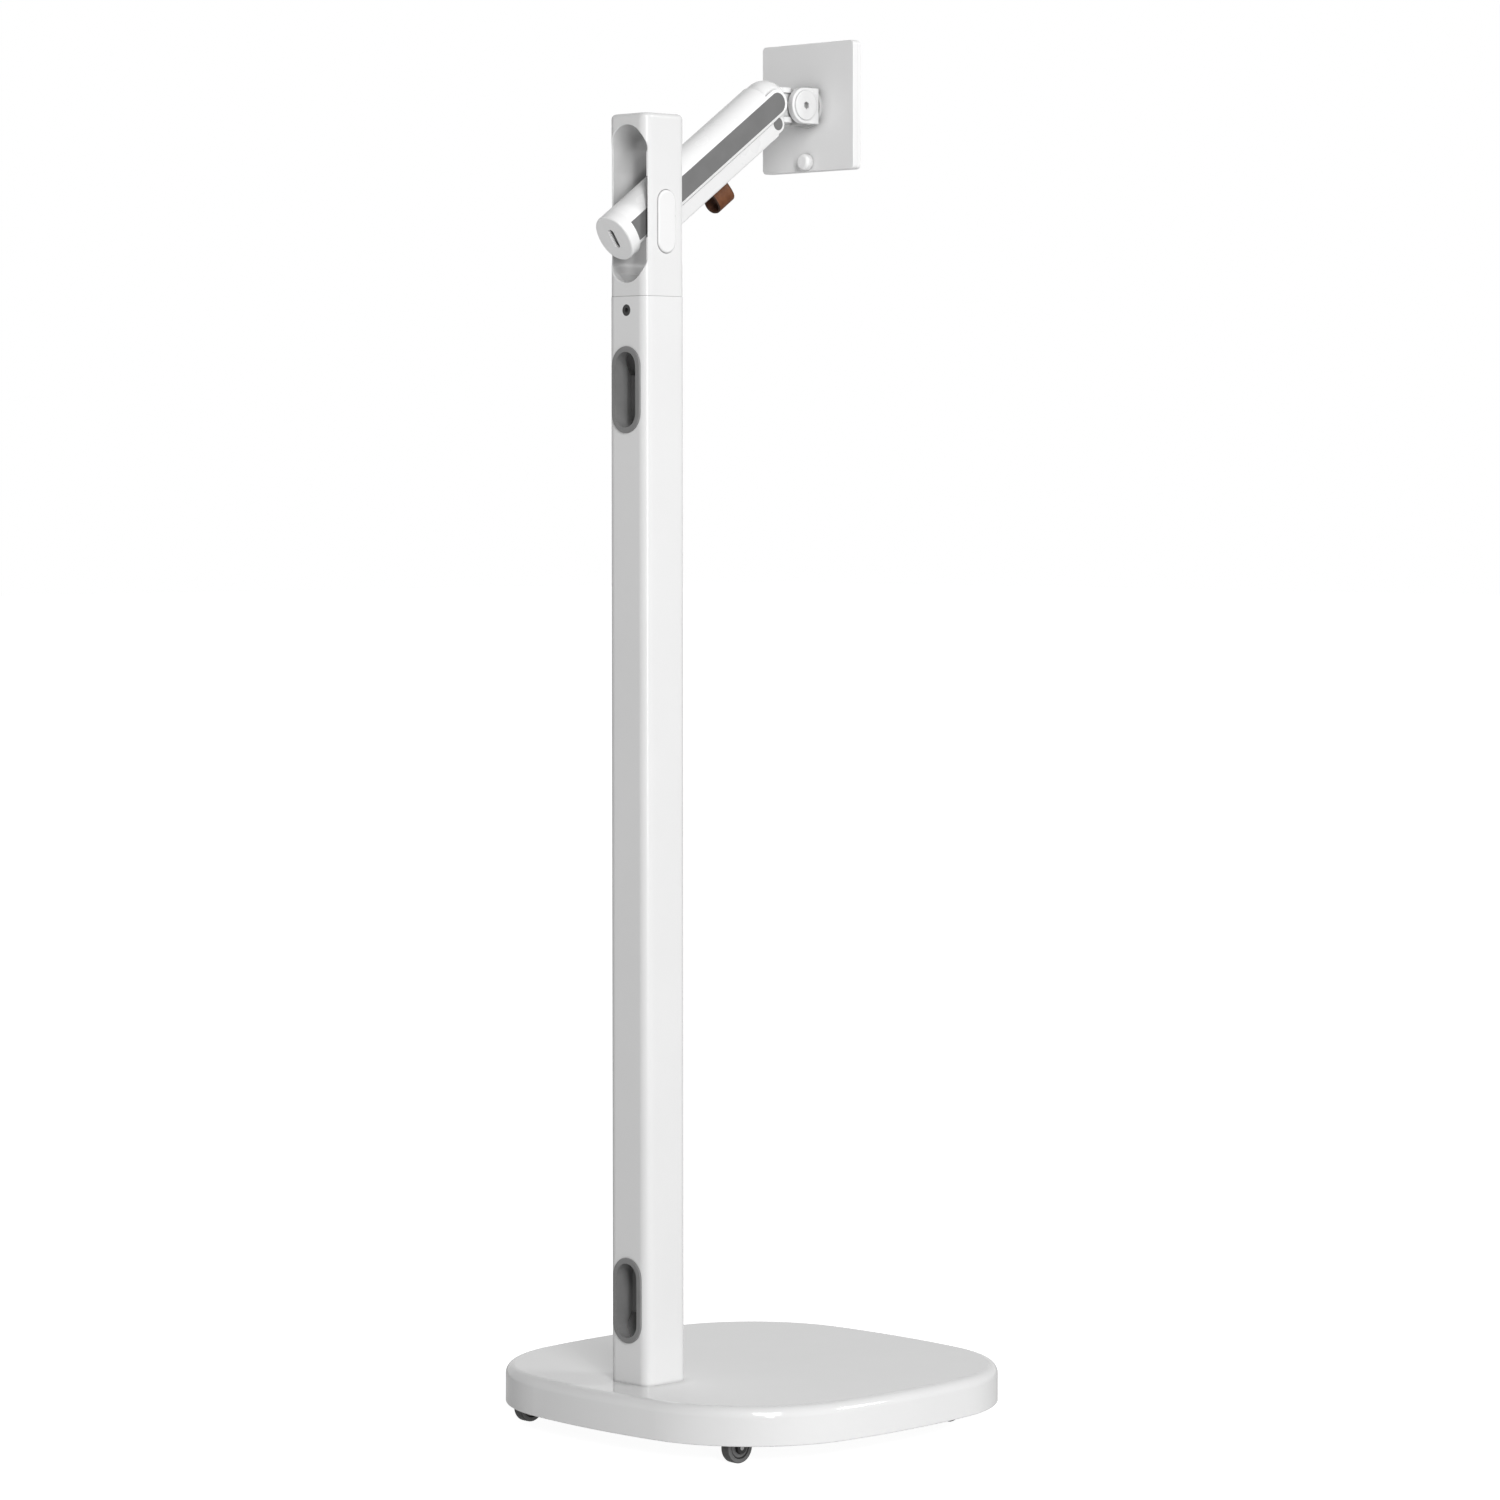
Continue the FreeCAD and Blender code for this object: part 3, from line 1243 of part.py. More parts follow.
def make_parts():
    parts = {
        "base_cover": make_base_cover(),
        "base_weight": make_base_weight(),
        "under_tray": make_under_tray(),
        "tray_screws": make_tray_screws(),
        "column_socket": make_column_socket(),
        "socket_bolts": make_socket_bolts(),
        "caster_sockets": make_caster_sockets(),
        "column_tube": make_column_tube(),
        "upper_grommet": make_grommet(upper_grommet_z, 1),
        "lower_grommet": make_grommet(lower_grommet_z, -1),
        "column_head": make_column_head(),
        "locking_screw": make_locking_screw(),
        "pivot_cover_left": make_side_cover(-1),
        "pivot_cover_right": make_side_cover(1),
        "arm_pivot_pin": make_arm_pivot_pin(),
        "link_pivot_pins": make_link_pivot_pins(),
        "tension_bracket": make_tension_bracket(),
        "tension_nut": make_tension_nut(),
        "tension_screw": make_tension_screw(),
        "wrist_drum": make_wrist_drum(),
        "swivel_pin": make_swivel_pin(),
        "swivel_knuckle": make_swivel_knuckle(),
        "friction_washers": make_friction_washers(),
        "tilt_clevis": make_tilt_clevis(),
        "tilt_screw": make_tilt_screw(),
        "tilt_nut": make_tilt_nut(),
        "rotation_flange": make_rotation_flange(),
        "rotation_screw": make_rotation_screw(),
        "flange_screws": make_flange_screws(),
        "mounting_plate": make_mounting_plate(),
        "keyhole_studs": make_keyhole_studs(),
        "vesa_plate": make_vesa_plate(),
        "release_knob": make_release_knob(),
    }
    on_arm = {
        "arm_shell": make_arm_shell(),
        "rear_cap": make_rear_cap(),
        "inlay_left": make_inlay(-1),
        "inlay_right": make_inlay(1),
        "pivot_bushes": make_pivot_bushes(),
        "wrist_pin": make_wrist_pin(),
        "gas_cylinder": make_gas_cylinder(),
        "cylinder_nut": make_cylinder_nut(),
        "gas_rod": make_gas_rod(),
    }
    on_link = {
        "link_channel": make_link_channel(),
        "link_caps": make_link_caps(),
        "link_front_pin": make_link_front_pin(),
        "cable_cover": make_cable_cover(),
        "cable_strap": make_cable_strap(),
        "strap_stud": make_strap_stud(),
    }
    for name, shape in on_arm.items():
        parts[name] = along_arm(shape, column_offset, arm_pivot_z)
    for name, shape in on_link.items():
        parts[name] = along_arm(shape, link_pivot_y, link_pivot_z)
    pieces = {"fork": make_caster_fork(), "axle": make_caster_axle(), "wheel": make_caster_wheel()}
    for corner in caster_places():
        for piece, shape in pieces.items():
            parts["caster_" + piece + "_" + corner] = place_caster(shape, corner)
    return parts


os.makedirs("parts", exist_ok=True)
for name, shape in make_parts().items():
    shape.exportStep("parts/" + name + ".step")
    print(name, len(shape.Solids), "solids", round(shape.Volume / 1000, 2), "cm3")
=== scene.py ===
import bpy
import bmesh
import json
import math
from mathutils import Matrix, Vector


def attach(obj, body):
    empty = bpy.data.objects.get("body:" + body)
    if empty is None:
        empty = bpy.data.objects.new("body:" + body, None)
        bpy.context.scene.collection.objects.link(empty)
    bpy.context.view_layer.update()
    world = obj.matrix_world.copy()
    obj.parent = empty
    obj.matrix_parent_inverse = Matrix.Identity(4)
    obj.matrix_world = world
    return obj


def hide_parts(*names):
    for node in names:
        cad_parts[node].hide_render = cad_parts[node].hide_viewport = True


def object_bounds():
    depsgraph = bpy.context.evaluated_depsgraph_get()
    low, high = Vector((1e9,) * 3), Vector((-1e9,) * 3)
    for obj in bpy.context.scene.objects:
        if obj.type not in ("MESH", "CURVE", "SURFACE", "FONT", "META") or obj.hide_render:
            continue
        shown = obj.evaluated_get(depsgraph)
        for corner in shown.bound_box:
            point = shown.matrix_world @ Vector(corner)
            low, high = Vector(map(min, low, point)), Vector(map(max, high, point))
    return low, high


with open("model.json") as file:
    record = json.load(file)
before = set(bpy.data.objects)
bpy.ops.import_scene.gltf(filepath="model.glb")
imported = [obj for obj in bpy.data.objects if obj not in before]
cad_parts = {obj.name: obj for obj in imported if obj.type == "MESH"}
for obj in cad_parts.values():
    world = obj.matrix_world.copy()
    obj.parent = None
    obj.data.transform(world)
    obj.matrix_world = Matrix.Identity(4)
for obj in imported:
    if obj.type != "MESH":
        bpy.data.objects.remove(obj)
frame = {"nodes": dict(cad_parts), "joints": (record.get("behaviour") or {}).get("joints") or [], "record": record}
cad_low, cad_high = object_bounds()
NODES = frame["nodes"]
SLOT_OF = {part["node"]: part["material_slot"] for part in frame["record"]["subparts"]}
JOINT = {joint["name"]: joint for joint in frame["joints"]}
CORNERS = ("front_left", "front_right", "rear_left", "rear_right")
MM = 0.001

# Nodes given their own finish instead of their material slot's; the arm's lighter white is partly its own finish
# and partly painted light, standing in for the strong light on the arm's top and the knob
OWN_FINISH = {
    "base_cover": "white_base",
    "rear_cap": "white_cap",
    "arm_shell": "white_arm",
    "wrist_drum": "white_arm",
    "swivel_knuckle": "white_arm",
    "tilt_clevis": "white_arm",
    "release_knob": "white_arm",
    "link_channel": "white_link",
    "cable_cover": "white_link",
    "upper_grommet": "grommet_grey",
    "lower_grommet": "grommet_grey",
}

# Camera: the photograph's own viewpoint, solved from the straight edges of plate, column and base
CAMERA_PLACE = (-3.0868, 3.0579, 0.8339)
CAMERA_AZIMUTH = 225.29
CAMERA_ELEVATION = 3.0
CAMERA_LENS = 116.19
CAMERA_CLIP = (0.05, 200.0)
SENSOR_WIDTH = 36.0

# Light
FLOOR_SIZE = 60.0
FLOOR_GLOW = 0.95          # strength of the paper as the camera sees it
FLOOR_FILL = 0.33          # strength of the paper as it lights the object
FLOOR_TONE = (0.42, 0.43)
ROOM_LIGHT = 0.15
ROOM_IN_GLOSS = 0.84       # share of the white backdrop that reflections show
# Each broad light: where it comes from, strength, spread in degrees, and if gloss shows it
BROAD_LIGHTS = {
    "side_light": ((-0.72, -0.54, 0.44), 0.84, 14.0, True),
    "front_fill": ((0.80, -0.56, 0.17), 0.60, 40.0, False),
}
BOX_DISTANCE = 7.0
# Each softbox: turn from the camera, height angle, width and height, power
SOFTBOXES = {
    "key_softbox": (13.0, 29.0, 2.4, 3.6, 262.0),
    "edge_softbox": (14.0, 3.0, 0.5, 4.0, 150.0),
}

# Finishes: scales are in cycles per metre, depths in metres
PAINT_TONE_SCALE = 9.0
PAINT_GLOSS_SCALE = 40.0
PAINT_GLOSS_SPREAD = 0.15
PAINT_PEEL = 0.25
COAT_ROUGHNESS = 0.08
# Painted shade: paints darken towards this tone where other surfaces stand close, as ambient occlusion does
PAINTED_SHADE_TONE = 0.45        # painted shade: tone deep in a crevice, as a share of the open tone
PAINTED_SHADE_FULL_BELOW = 0.15        # openness below which the painted shade is full
PAINTED_SHADE_GONE_ABOVE = 0.85        # openness above which the painted shade is gone
PAINTED_SHADE_SAMPLES = 8
PLASTIC_TONE_SCALE = 60.0
PLASTIC_GLOSS_SCALE = 120.0
PLASTIC_GLOSS_SPREAD = 0.06
METAL_STREAK_SCALE = 30.0
METAL_STREAK_STRETCH = (40.0, 40.0, 4.0)
METAL_STREAK_DEPTH = 0.00002
METAL_GLOSS_SPREAD = 0.08
LEATHER_PEBBLE_SCALE = 1500.0
LEATHER_DYE_SCALE = 140.0
LEATHER_GLOSS_SCALE = 500.0
LEATHER_CREASE_SCALE = 420.0
LEATHER_DEPTH = 0.00010
LEATHER_SHINE = 0.2

# Leather strap, drawn level with the link's rear pivot at the origin
STRAP_START = 75.1 * MM
STRAP_WIDTH = 22.4 * MM
STRAP_TOP = -9.5 * MM
STRAP_DEPTH = 21.0 * MM
STRAP_TOP_HALF = 5.8 * MM
STRAP_HALF = 8.6 * MM
STRAP_ROUND = 7.8 * MM
STRAP_THICKNESS = 1.8 * MM
STRAP_WEAR = 0.02          # how much narrower the band is halfway down
STRAP_EDGE = 0.55 * MM
STRAP_BURNISH = 0.9 * MM
STRAP_CREASE_INSET = 1.7 * MM
STRAP_CREASE_WIDTH = 0.5 * MM
STRAP_CREASE_DEPTH = 0.12 * MM
STRAP_TOP_STEPS = 5
STRAP_SIDE_STEPS = 10
STRAP_CORNER_STEPS = 12
STRAP_EDGE_STEPS = 5
STRAP_SKINS = ("face", "edge", "back")
STRAP_FINISHES = ("leather", "leather_edge", "leather_back")

# Caster wheels
WHEEL_RADIUS = 14.0 * MM
WHEEL_HALF = 5.1 * MM
TYRE_ROUND = 1.7 * MM
WHEEL_STEPS = 96
WHEEL_WELD = 1e-7          # distance below which two points are one
# Tread from its middle outwards: share of the half width, and sink as a share of the rounding
TREAD_CROWN = ((0.0, 0.0), (0.35, 0.0), (0.62, 0.1))
# Rounding between tread and side: degrees turned, finish
TYRE_CORNER = ((15, "tyre"), (35, "tyre"), (55, "tyre"), (75, "ring"), (90, "ring"))
# Wheel side from the tyre's ring in to the bore: radius, depth below the side, finish
WHEEL_SIDE = (
    (10.4, 0.0, "ring"), (9.9, 0.1, "ring"), (9.5, 0.9, "groove"), (8.8, 1.0, "groove"),
    (8.4, 0.35, "ring"), (8.0, 0.2, "ring"), (5.6, 0.2, "ring"), (5.2, 0.7, "groove"),
    (4.2, 0.7, "groove"), (3.9, 0.1, "ring"), (2.2, 0.1, "ring"), (2.1, 0.4, "groove"),
)
# The groove finish is painted shade: a near-black in the wheel's grooves, darker than tyre and ring
WHEEL_SKINS = ("tyre", "ring", "groove")
WHEEL_FINISHES = ("tread", "wheel_ring", "wheel_groove")


def towards_view(azimuth, elevation):
    """Unit vector from the object to a viewer at this azimuth and elevation in degrees."""
    turn, rise = math.radians(azimuth), math.radians(elevation)
    level = math.cos(rise)
    return Vector((math.sin(turn) * level, -math.cos(turn) * level, math.sin(rise)))


def aim(thing, towards):
    """Turn a camera or a lamp so that it looks along a direction."""
    thing.rotation_mode = "QUATERNION"
    thing.rotation_quaternion = towards.to_track_quat("-Z", "Y")


def make_camera():
    data = bpy.data.cameras.new("photo_camera")
    data.lens = CAMERA_LENS
    data.sensor_width = SENSOR_WIDTH
    data.clip_start, data.clip_end = CAMERA_CLIP
    camera = bpy.data.objects.new("photo_camera", data)
    bpy.context.scene.collection.objects.link(camera)
    camera.location = CAMERA_PLACE
    aim(camera, -towards_view(CAMERA_AZIMUTH, CAMERA_ELEVATION))
    bpy.context.scene.camera = camera


def new_lamp(name, kind):
    lamp = bpy.data.objects.new(name, bpy.data.lights.new(name, kind))
    bpy.context.scene.collection.objects.link(lamp)
    return lamp


def make_broad_lights():
    """One light for the column's lit side and the base's top, and a fill for the far side."""
    for name, (place, strength, spread, gloss) in BROAD_LIGHTS.items():
        lamp = new_lamp(name, "SUN")
        lamp.data.energy = strength
        lamp.data.angle = math.radians(spread)
        lamp.visible_glossy = gloss
        aim(lamp, -Vector(place))


def make_softboxes():
    """A high key light, and a narrow upright one that draws the bright line down near corners."""
    middle = (cad_low + cad_high) / 2
    for name, (side_turn, height_angle, wide, high, power) in SOFTBOXES.items():
        lamp = new_lamp(name, "AREA")
        lamp.data.shape = "RECTANGLE"
        lamp.data.size, lamp.data.size_y = wide, high
        lamp.data.energy = power
        out = towards_view(CAMERA_AZIMUTH + side_turn, height_angle)
        lamp.location = middle + out * BOX_DISTANCE
        aim(lamp, -out)


def make_world():
    """White paper behind the object, a little duller in reflections, and a dim room around it."""
    world = bpy.data.worlds.new("studio")
    world.use_nodes = True
    tree = world.node_tree
    backdrop = tree.nodes["Background"]
    backdrop.inputs["Color"].default_value = (1.0, 1.0, 1.0, 1.0)
    room = tree.nodes.new("ShaderNodeBackground")
    room.inputs["Strength"].default_value = ROOM_LIGHT
    rays = tree.nodes.new("ShaderNodeLightPath")
    mix = tree.nodes.new("ShaderNodeMixShader")
    gloss = tree.nodes.new("ShaderNodeMath")
    gloss.operation = "MULTIPLY"
    gloss.inputs[1].default_value = ROOM_IN_GLOSS
    seen = tree.nodes.new("ShaderNodeMath")
    seen.operation = "MAXIMUM"
    tree.links.new(rays.outputs["Is Glossy Ray"], gloss.inputs[0])
    tree.links.new(rays.outputs["Is Camera Ray"], seen.inputs[0])
    tree.links.new(gloss.outputs["Value"], seen.inputs[1])
    tree.links.new(seen.outputs["Value"], mix.inputs["Fac"])
    tree.links.new(room.outputs["Background"], mix.inputs[1])
    tree.links.new(backdrop.outputs["Background"], mix.inputs[2])
    tree.links.new(mix.outputs["Shader"], tree.nodes["World Output"].inputs["Surface"])
    bpy.context.scene.world = world
    bpy.context.scene.view_settings.view_transform = "Standard"


class Shader:
    """Small helper that wires one Principled material from procedural parts."""

    def __init__(self, name):
        self.material = bpy.data.materials.new(name)
        self.material.use_nodes = True
        self.tree = self.material.node_tree
        self.surface = self.tree.nodes["Principled BSDF"]
        self.place = self.tree.nodes.new("ShaderNodeTexCoord").outputs["Object"]

    def node(self, kind, **values):
        """New node, with each value set on the socket of that name, or else on the node."""
        made = self.tree.nodes.new(kind)
        for name, value in values.items():
            if name in made.inputs:
                made.inputs[name].default_value = value
            else:
                setattr(made, name, value)
        return made

    def link(self, out, into):
        self.tree.links.new(out, into)

    def noise(self, scale, detail=3.0, stretch=None):
        made = self.node("ShaderNodeTexNoise", Scale=scale, Detail=detail)
        place = self.place
        if stretch:
            mapping = self.node("ShaderNodeMapping", Scale=stretch)
            self.link(place, mapping.inputs["Vector"])
            place = mapping.outputs["Vector"]
        self.link(place, made.inputs["Vector"])
        return made.outputs["Fac"]

    def between(self, field, low, high, start=0.3, end=0.7):
        """Map the middle of a 0 to 1 field to a range of numbers."""
        made = self.tree.nodes.new("ShaderNodeMapRange")
        made.inputs["From Min"].default_value = start
        made.inputs["From Max"].default_value = end
        made.inputs["To Min"].default_value = low
        made.inputs["To Max"].default_value = high
        self.link(field, made.inputs["Value"])
        return made.outputs["Result"]

    def tones(self, field, dark, light, start=0.35, end=0.65):
        """Map the middle of a 0 to 1 field to tones, each a grey or a colour."""
        ramp = self.tree.nodes.new("ShaderNodeValToRGB")
        stops = ((start, dark), (end, light))
        for mark, (position, tone) in zip(ramp.color_ramp.elements, stops):
            mark.position = position
            rgb = (tone,) * 3 if isinstance(tone, float) else tone
            mark.color = (*rgb, 1.0)
        self.link(field, ramp.inputs["Fac"])
        return ramp.outputs["Color"]

    def paint_crevice_shade(self, tone, shade_reach):
        """Darken a tone with painted shade where other surfaces stand close, the more the more closed in the spot
        is.
        """
        air = self.node("ShaderNodeAmbientOcclusion", Distance=shade_reach, samples=PAINTED_SHADE_SAMPLES)
        # depth is the painted shade, from the shade tone where closed in to 1 where open
        depth = self.tones(air.outputs["AO"], PAINTED_SHADE_TONE, 1.0, PAINTED_SHADE_FULL_BELOW, PAINTED_SHADE_GONE_ABOVE)
        mix = self.node("ShaderNodeMixRGB", blend_type="MULTIPLY", Fac=1.0)
        self.link(tone, mix.inputs["Color1"])
        self.link(depth, mix.inputs["Color2"])
        return mix.outputs["Color"]

    def bump(self, height, strength, distance, under=None):
        made = self.node("ShaderNodeBump", Strength=strength, Distance=distance)
        self.link(height, made.inputs["Height"])
        if under is not None:
            self.link(under, made.inputs["Normal"])
        return made.outputs["Normal"]

    def finish(self, colour, roughness, normal=None, **fixed):
        """Wire colour, roughness and normal, set the other sockets, and hand over the material."""
        self.link(colour, self.surface.inputs["Base Color"])
        self.link(roughness, self.surface.inputs["Roughness"])
        if normal is not None:
            self.link(normal, self.surface.inputs["Normal"])
        for name, value in fixed.items():
            self.surface.inputs[name.replace("_", " ")].default_value = value
        return self.material


def paint(name, light, dark, roughness, grain=900.0, depth=0.00004, coat=0.0, shade_reach=0.02):
    """Painted or moulded white surface: faint tone drift, a fine orange peel, and painted shade in its crevices.
    """
    s = Shader(name)
    # tone carries the painted crevice shade from here on
    tone = s.paint_crevice_shade(s.tones(s.noise(PAINT_TONE_SCALE), dark, light), shade_reach)
    gloss = s.between(s.noise(PAINT_GLOSS_SCALE), roughness * (1 - PAINT_GLOSS_SPREAD),
                      roughness * (1 + PAINT_GLOSS_SPREAD))
    peel = s.bump(s.noise(grain, 2.0), PAINT_PEEL, depth)
    return s.finish(tone, gloss, peel, Coat_Weight=coat, Coat_Roughness=COAT_ROUGHNESS)


def grained_plastic(name, light, dark, roughness, scale=1600.0, depth=0.00006):
    """Fine spark-eroded plastic."""
    s = Shader(name)
    tone = s.tones(s.noise(PLASTIC_TONE_SCALE, 4.0), dark, light)
    gloss = s.between(s.noise(PLASTIC_GLOSS_SCALE), roughness - PLASTIC_GLOSS_SPREAD,
                      roughness + PLASTIC_GLOSS_SPREAD)
    return s.finish(tone, gloss, s.bump(s.noise(scale, 4.0), 0.5, depth))


def turned_metal(name, light, dark, roughness):
    """Bare metal with fine tool streaks."""
    s = Shader(name)
    streak = s.noise(METAL_STREAK_SCALE, 5.0, METAL_STREAK_STRETCH)
    gloss = s.between(streak, roughness - METAL_GLOSS_SPREAD, roughness + METAL_GLOSS_SPREAD)
    marks = s.bump(streak, 0.2, METAL_STREAK_DEPTH)
    return s.finish(s.tones(streak, dark, light), gloss, marks, Metallic=1.0)


def leather(name, low, high, roughness=0.5):
    """Pebbled leather: uneven dye, fine creases and a soft sheen."""
    s = Shader(name)
    pebble = s.node("ShaderNodeTexVoronoi", Scale=LEATHER_PEBBLE_SCALE)
    s.link(s.place, pebble.inputs["Vector"])
    tone = s.tones(s.noise(LEATHER_DYE_SCALE, 5.0), low, high, 0.3, 0.7)
    gloss = s.between(s.noise(LEATHER_GLOSS_SCALE, 4.0), roughness - 0.1, roughness + 0.12)
    creases = s.bump(s.noise(LEATHER_CREASE_SCALE, 5.0), 0.35, LEATHER_DEPTH)
    grain = s.bump(pebble.outputs["Distance"], 0.5, LEATHER_DEPTH, creases)
    return s.finish(tone, gloss, grain, Specular_IOR_Level=LEATHER_SHINE)


def make_materials():
    """Every finish by name: light tone, dark tone, roughness, then what is special to it."""
    return {
        # Every paint carries painted shade in its crevices out to its own distance; the casting's long one paints
        # shade deep in the head's slot
        "white_base": paint("white_base", 0.80, 0.785, 0.09, coat=0.25),
        # Partly painted light: lighter than the other whites to stand in for the strong light on the arm's top,
        # also used for the knob
        "white_arm": paint("white_arm", 0.87, 0.85, 0.25, grain=1400.0),
        "white_tube": paint("white_tube", 0.775, 0.76, 0.22, shade_reach=0.004),
        "white_casting": paint("white_casting", 0.755, 0.74, 0.22, grain=1400.0, shade_reach=0.05),
        "white_steel": paint("white_steel", 0.84, 0.82, 0.40, grain=1400.0),
        "white_trim": paint("white_trim", 0.80, 0.785, 0.3),
        "white_cap": paint("white_cap", 0.84, 0.82, 0.2, shade_reach=0.002),
        "white_link": paint("white_link", 0.76, 0.74, 0.3, grain=1400.0, shade_reach=0.008),
        "grey_plastic": grained_plastic("grey_plastic", 0.155, 0.138, 0.5),
        "grommet_grey": grained_plastic("grommet_grey", 0.22, 0.20, 0.5),
        "ballast": grained_plastic("ballast", 0.10, 0.05, 0.7, scale=500.0, depth=0.0003),
        "dark_plastic": grained_plastic("dark_plastic", 0.03, 0.02, 0.55),
        "dark_steel": grained_plastic("dark_steel", 0.035, 0.02, 0.4),
        "bearing_plastic": grained_plastic("bearing_plastic", 0.66, 0.60, 0.45),
        "caster_black": grained_plastic("caster_black", 0.03, 0.018, 0.38),
        "tread": grained_plastic("tread", 0.075, 0.055, 0.5),
        "wheel_ring": grained_plastic("wheel_ring", 0.17, 0.14, 0.45),
        # wheel_groove is painted shade, a near-black for the bottoms of the wheel's grooves
        "wheel_groove": grained_plastic("wheel_groove", 0.02, 0.012, 0.6),
        "socket_casting": turned_metal("socket_casting", 0.55, 0.45, 0.45),
        "steel": turned_metal("steel", 0.60, 0.48, 0.32),
        "rod": turned_metal("rod", 0.75, 0.68, 0.15),
        "leather": leather("leather", (0.100, 0.034, 0.012), (0.155, 0.057, 0.021)),
        "leather_edge": leather("leather_edge", (0.030, 0.014, 0.008), (0.055, 0.024, 0.013), 0.4),
        "leather_back": leather("leather_back", (0.045, 0.018, 0.010), (0.085, 0.034, 0.018), 0.8),
    }


def dress(materials):
    """Give each CAD node its own finish, or else its slot's."""
    for name, node in NODES.items():
        node.data.materials.clear()
        node.data.materials.append(materials[OWN_FINISH.get(name, SLOT_OF[name])])


def make_floor():
    """Plain paper sweep: it looks as pale as the photograph's background, and gives some fill."""
    side = FLOOR_SIZE / 2
    mesh = bpy.data.meshes.new("floor")
    mesh.from_pydata([(-side, -side, 0), (side, -side, 0), (side, side, 0), (-side, side, 0)],
                     [], [(0, 1, 2, 3)])
    floor = bpy.data.objects.new("floor", mesh)
    bpy.context.scene.collection.objects.link(floor)
    s = Shader("floor_paper")
    tone = s.tones(s.noise(0.7), *FLOOR_TONE, 0.3, 0.7)
    s.surface.inputs["Emission Color"].default_value = (1.0, 1.0, 1.0, 1.0)
    seen = s.node("ShaderNodeLightPath").outputs["Is Camera Ray"]
    s.link(s.between(seen, FLOOR_FILL, FLOOR_GLOW, 0.0, 1.0), s.surface.inputs["Emission Strength"])
    mesh.materials.append(s.finish(tone, s.between(s.noise(3.0), 0.8, 0.9), Specular_IOR_Level=0.0))


def new_piece(name, form, materials, body, replaced):
    """Finish a mesh piece: object, smooth shading, materials, and its place in the frame."""
    mesh = bpy.data.meshes.new(name)
    bmesh.ops.recalc_face_normals(form, faces=form.faces)
    form.to_mesh(mesh)
    form.free()
    for face in mesh.polygons:
        face.use_smooth = True
    for material in materials:
        mesh.materials.append(material)
    piece = bpy.data.objects.new(name, mesh)
    bpy.context.scene.collection.objects.link(piece)
    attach(piece, body)
    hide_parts(replaced)


def grid_faces(form, rows, closed_columns):
    """Skin a closed ring of rows of points with quads; each comes with its column's number."""
    verts = [[form.verts.new(point) for point in row] for row in rows]
    count, width = len(verts), len(verts[0])
    faces = []
    for i in range(count):
        for j in range(width if closed_columns else width - 1):
            corners = (verts[i][j], verts[i][(j + 1) % width],
                       verts[(i + 1) % count][(j + 1) % width], verts[(i + 1) % count][j])
            faces.append((form.faces.new(corners), j))
    return faces


def arm_slope():
    """Rise of the arm above level at rest, in radians."""
    pivot = Vector(JOINT["arm_lift"]["pos_m"])
    wrist = Vector(JOINT["wrist_level"]["pos_m"])
    return math.atan2(wrist.z - pivot.z, pivot.y - wrist.y)


def strap_path():
    """Middle line of the loop across the arm as (x, z, normal x, normal z), clockwise."""
    inset = STRAP_THICKNESS / 2
    top, low = STRAP_TOP - inset, STRAP_TOP - STRAP_DEPTH + inset
    narrow, half, corner = STRAP_TOP_HALF - inset, STRAP_HALF - inset, STRAP_ROUND - inset
    shoulder = low + corner
    rise, swell = top - shoulder, half - narrow
    bow = (rise ** 2 + swell ** 2) / (2 * swell)
    lean = math.asin(rise / bow)
    right = [(narrow * k / STRAP_TOP_STEPS, top) for k in range(STRAP_TOP_STEPS)]
    for k in range(STRAP_SIDE_STEPS + 1):
        turn = lean * (1 - k / STRAP_SIDE_STEPS)
        right.append((half - bow + bow * math.cos(turn), shoulder + bow * math.sin(turn)))
    for k in range(1, STRAP_CORNER_STEPS + 1):
        turn = math.pi / 2 * k / STRAP_CORNER_STEPS
        right.append((half - corner + corner * math.cos(turn), shoulder - corner * math.sin(turn)))
    points = right + [(0.0, low)] + [(-x, z) for x, z in reversed(right[1:])]
    path = []
    for k, (x, z) in enumerate(points):
        before, after = points[k - 1], points[(k + 1) % len(points)]
        along = Vector((after[0] - before[0], after[1] - before[1])).normalized()
        path.append((x, z, -along.y, along.x))
    return path


def strap_section():
    """Section of the band as (along its width, outwards), with burnished edges and creases."""
    half, thick, edge = STRAP_WIDTH / 2, STRAP_THICKNESS / 2, STRAP_EDGE
    crease = half - STRAP_CREASE_INSET
    turns = [math.pi / 2 * k / STRAP_EDGE_STEPS for k in range(STRAP_EDGE_STEPS + 1)]
    outer = [(half - edge + edge * math.cos(turn), thick - edge + edge * math.sin(turn), "edge")
             for turn in turns]
    outer += [(half - STRAP_BURNISH, thick, "edge"),
              (crease + STRAP_CREASE_WIDTH, thick, "face"),
              (crease, thick - STRAP_CREASE_DEPTH, "face"),
              (crease - STRAP_CREASE_WIDTH, thick, "face"),
              (crease / 2, thick, "face"), (0.0, thick, "face")]
    outer += [(-y, z, skin) for y, z, skin in reversed(outer[:-1])]
    inner = [(-half + edge - edge * math.cos(turn), -thick + edge - edge * math.sin(turn), "edge")
             for turn in turns]
    inner += [(-half / 2, -thick, "back"), (0.0, -thick, "back")]
    inner += [(-y, z, skin) for y, z, skin in reversed(inner[:-1])]
    return outer + inner


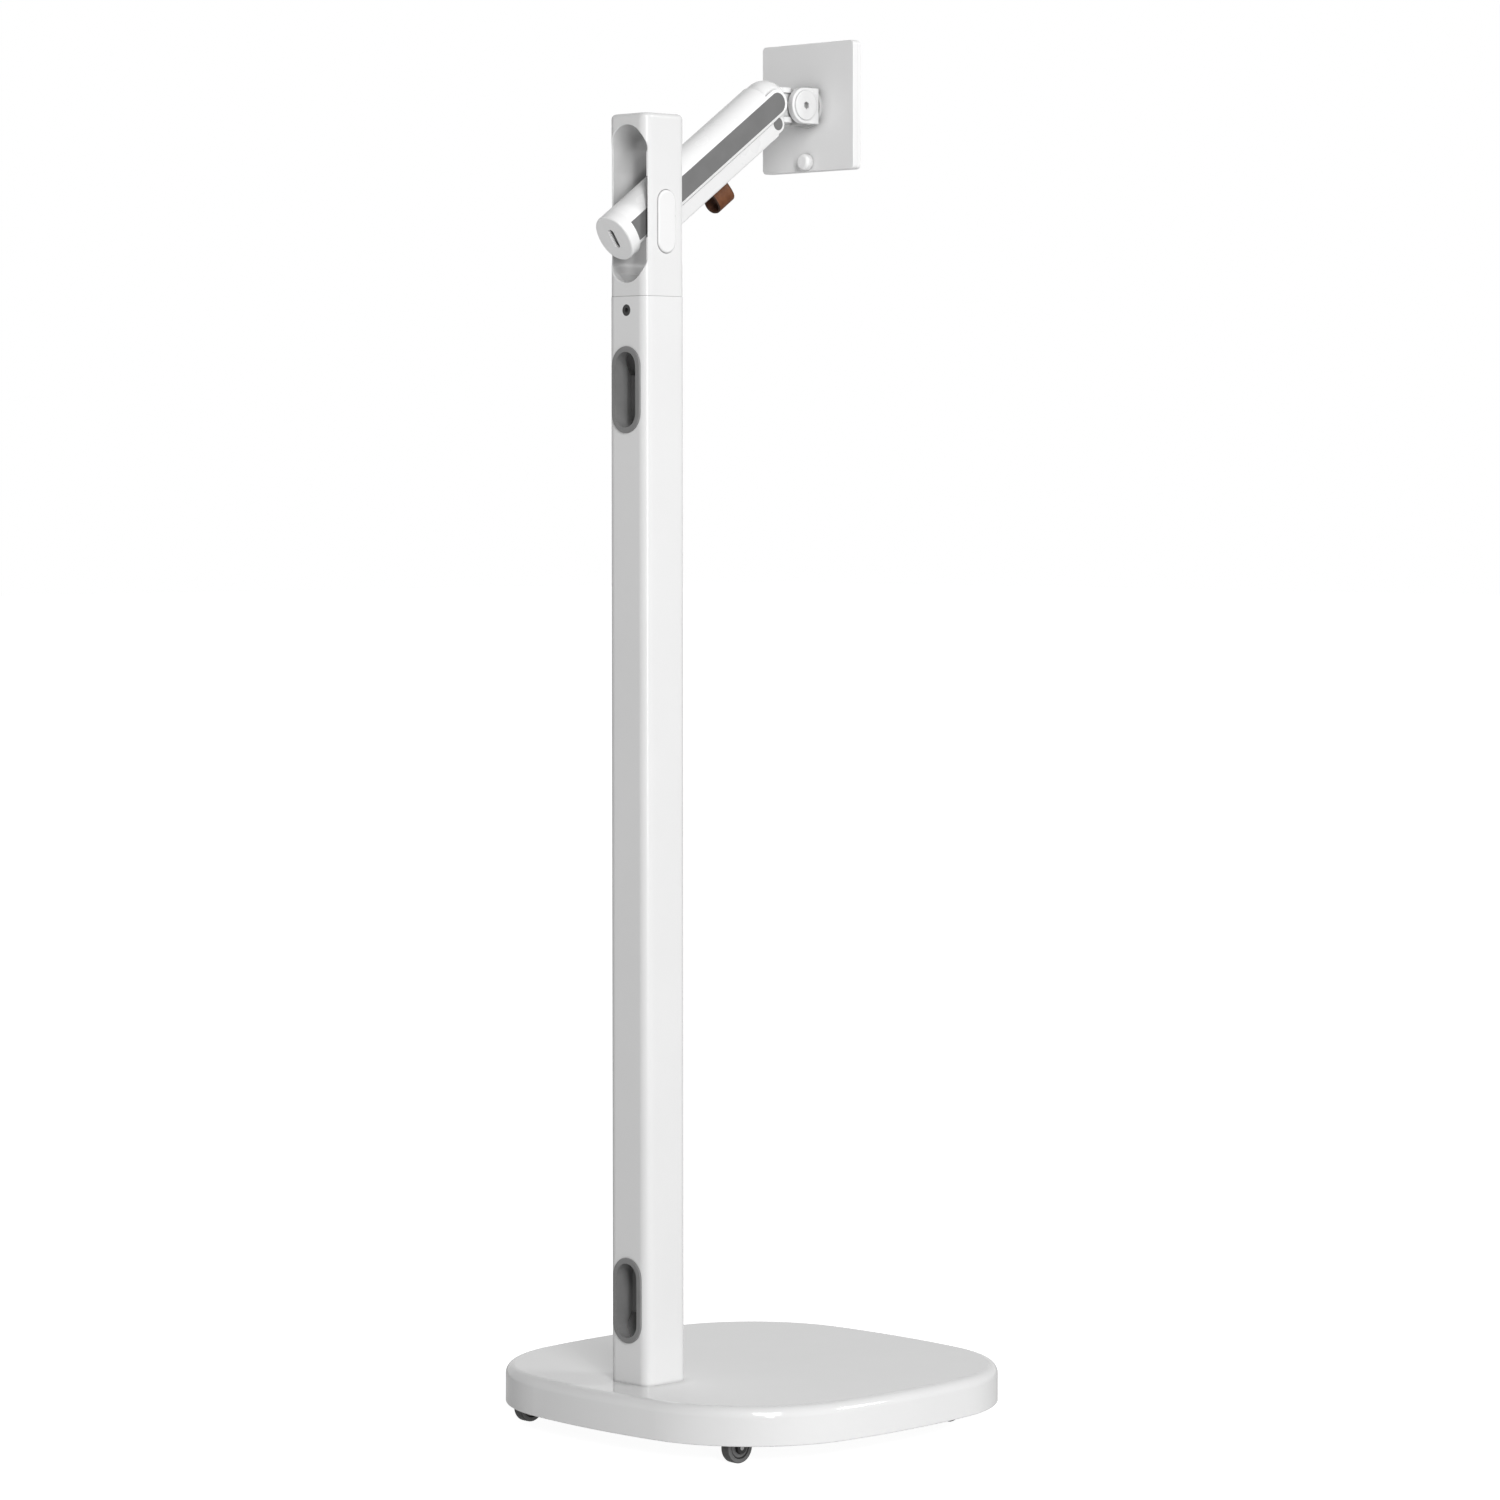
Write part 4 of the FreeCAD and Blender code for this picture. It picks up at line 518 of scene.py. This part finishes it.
def make_strap(materials):
    """Leather loop under the link, worn a little narrower where the cables pull on it."""
    form = bmesh.new()
    section = strap_section()
    middle = -STRAP_START - STRAP_WIDTH / 2
    pivot = Vector(JOINT["link_swing"]["pos_m"])
    place = Matrix.Translation(pivot) @ Matrix.Rotation(-arm_slope(), 4, "X")
    rows = []
    for x, z, nx, nz in strap_path():
        sink = (STRAP_TOP - z) / STRAP_DEPTH
        width = 1.0 - STRAP_WEAR * math.sin(math.pi * sink)
        rows.append([place @ Vector((x + nx * out, middle + y * width, z + nz * out))
                     for y, out, _ in section])
    for face, column in grid_faces(form, rows, True):
        # A face from the edge to the face or the back takes the finish of the latter
        ends = {section[column][2], section[(column + 1) % len(section)][2]}
        skin = (ends - {"edge"} or ends).pop()
        face.material_index = STRAP_SKINS.index(skin)
    new_piece("leather_strap", form, [materials[n] for n in STRAP_FINISHES], "link",
              "cable_strap")


def wheel_profile():
    """Half section of a caster wheel as (radius, half width, finish), from the tread inwards."""
    r, w, bend = WHEEL_RADIUS, WHEEL_HALF, TYRE_ROUND
    profile = [(r - sink * bend, share * w, "tyre") for share, sink in TREAD_CROWN]
    for degrees, skin in TYRE_CORNER:
        turn = math.radians(degrees)
        profile.append((r - bend + bend * math.cos(turn), w - bend + bend * math.sin(turn), skin))
    return profile + [(radius * MM, w - depth * MM, skin) for radius, depth, skin in WHEEL_SIDE]


def make_wheel(corner, materials):
    """Turned wheel with a soft tyre, ringed sides and painted shade in its grooves, on its CAD wheel's own axis.
    """
    form = bmesh.new()
    side = wheel_profile()
    section = [(r, -w, skin) for r, w, skin in reversed(side[1:])] + side
    spin = JOINT["spin_" + corner]
    turn = Vector(spin["axis"]).normalized().to_track_quat("X", "Z").to_matrix().to_4x4()
    place = Matrix.Translation(Vector(spin["pos_m"])) @ turn
    rows = []
    for k in range(WHEEL_STEPS):
        a = 2 * math.pi * k / WHEEL_STEPS
        rows.append([place @ Vector((w, r * math.cos(a), r * math.sin(a))) for r, w, _ in section])
    for face, column in grid_faces(form, rows, False):
        face.material_index = WHEEL_SKINS.index(section[column][2])
    # The bore joins the two sides
    grid_faces(form, [[row[0], row[-1]] for row in rows], False)
    bmesh.ops.remove_doubles(form, verts=form.verts, dist=WHEEL_WELD)
    new_piece("wheel_" + corner + "_tyre", form, [materials[n] for n in WHEEL_FINISHES],
              "wheel_" + corner, "caster_wheel_" + corner)


make_camera()
make_world()
make_broad_lights()
make_softboxes()
make_floor()
finishes = make_materials()
dress(finishes)
make_strap(finishes)
for corner in CORNERS:
    make_wheel(corner, finishes)
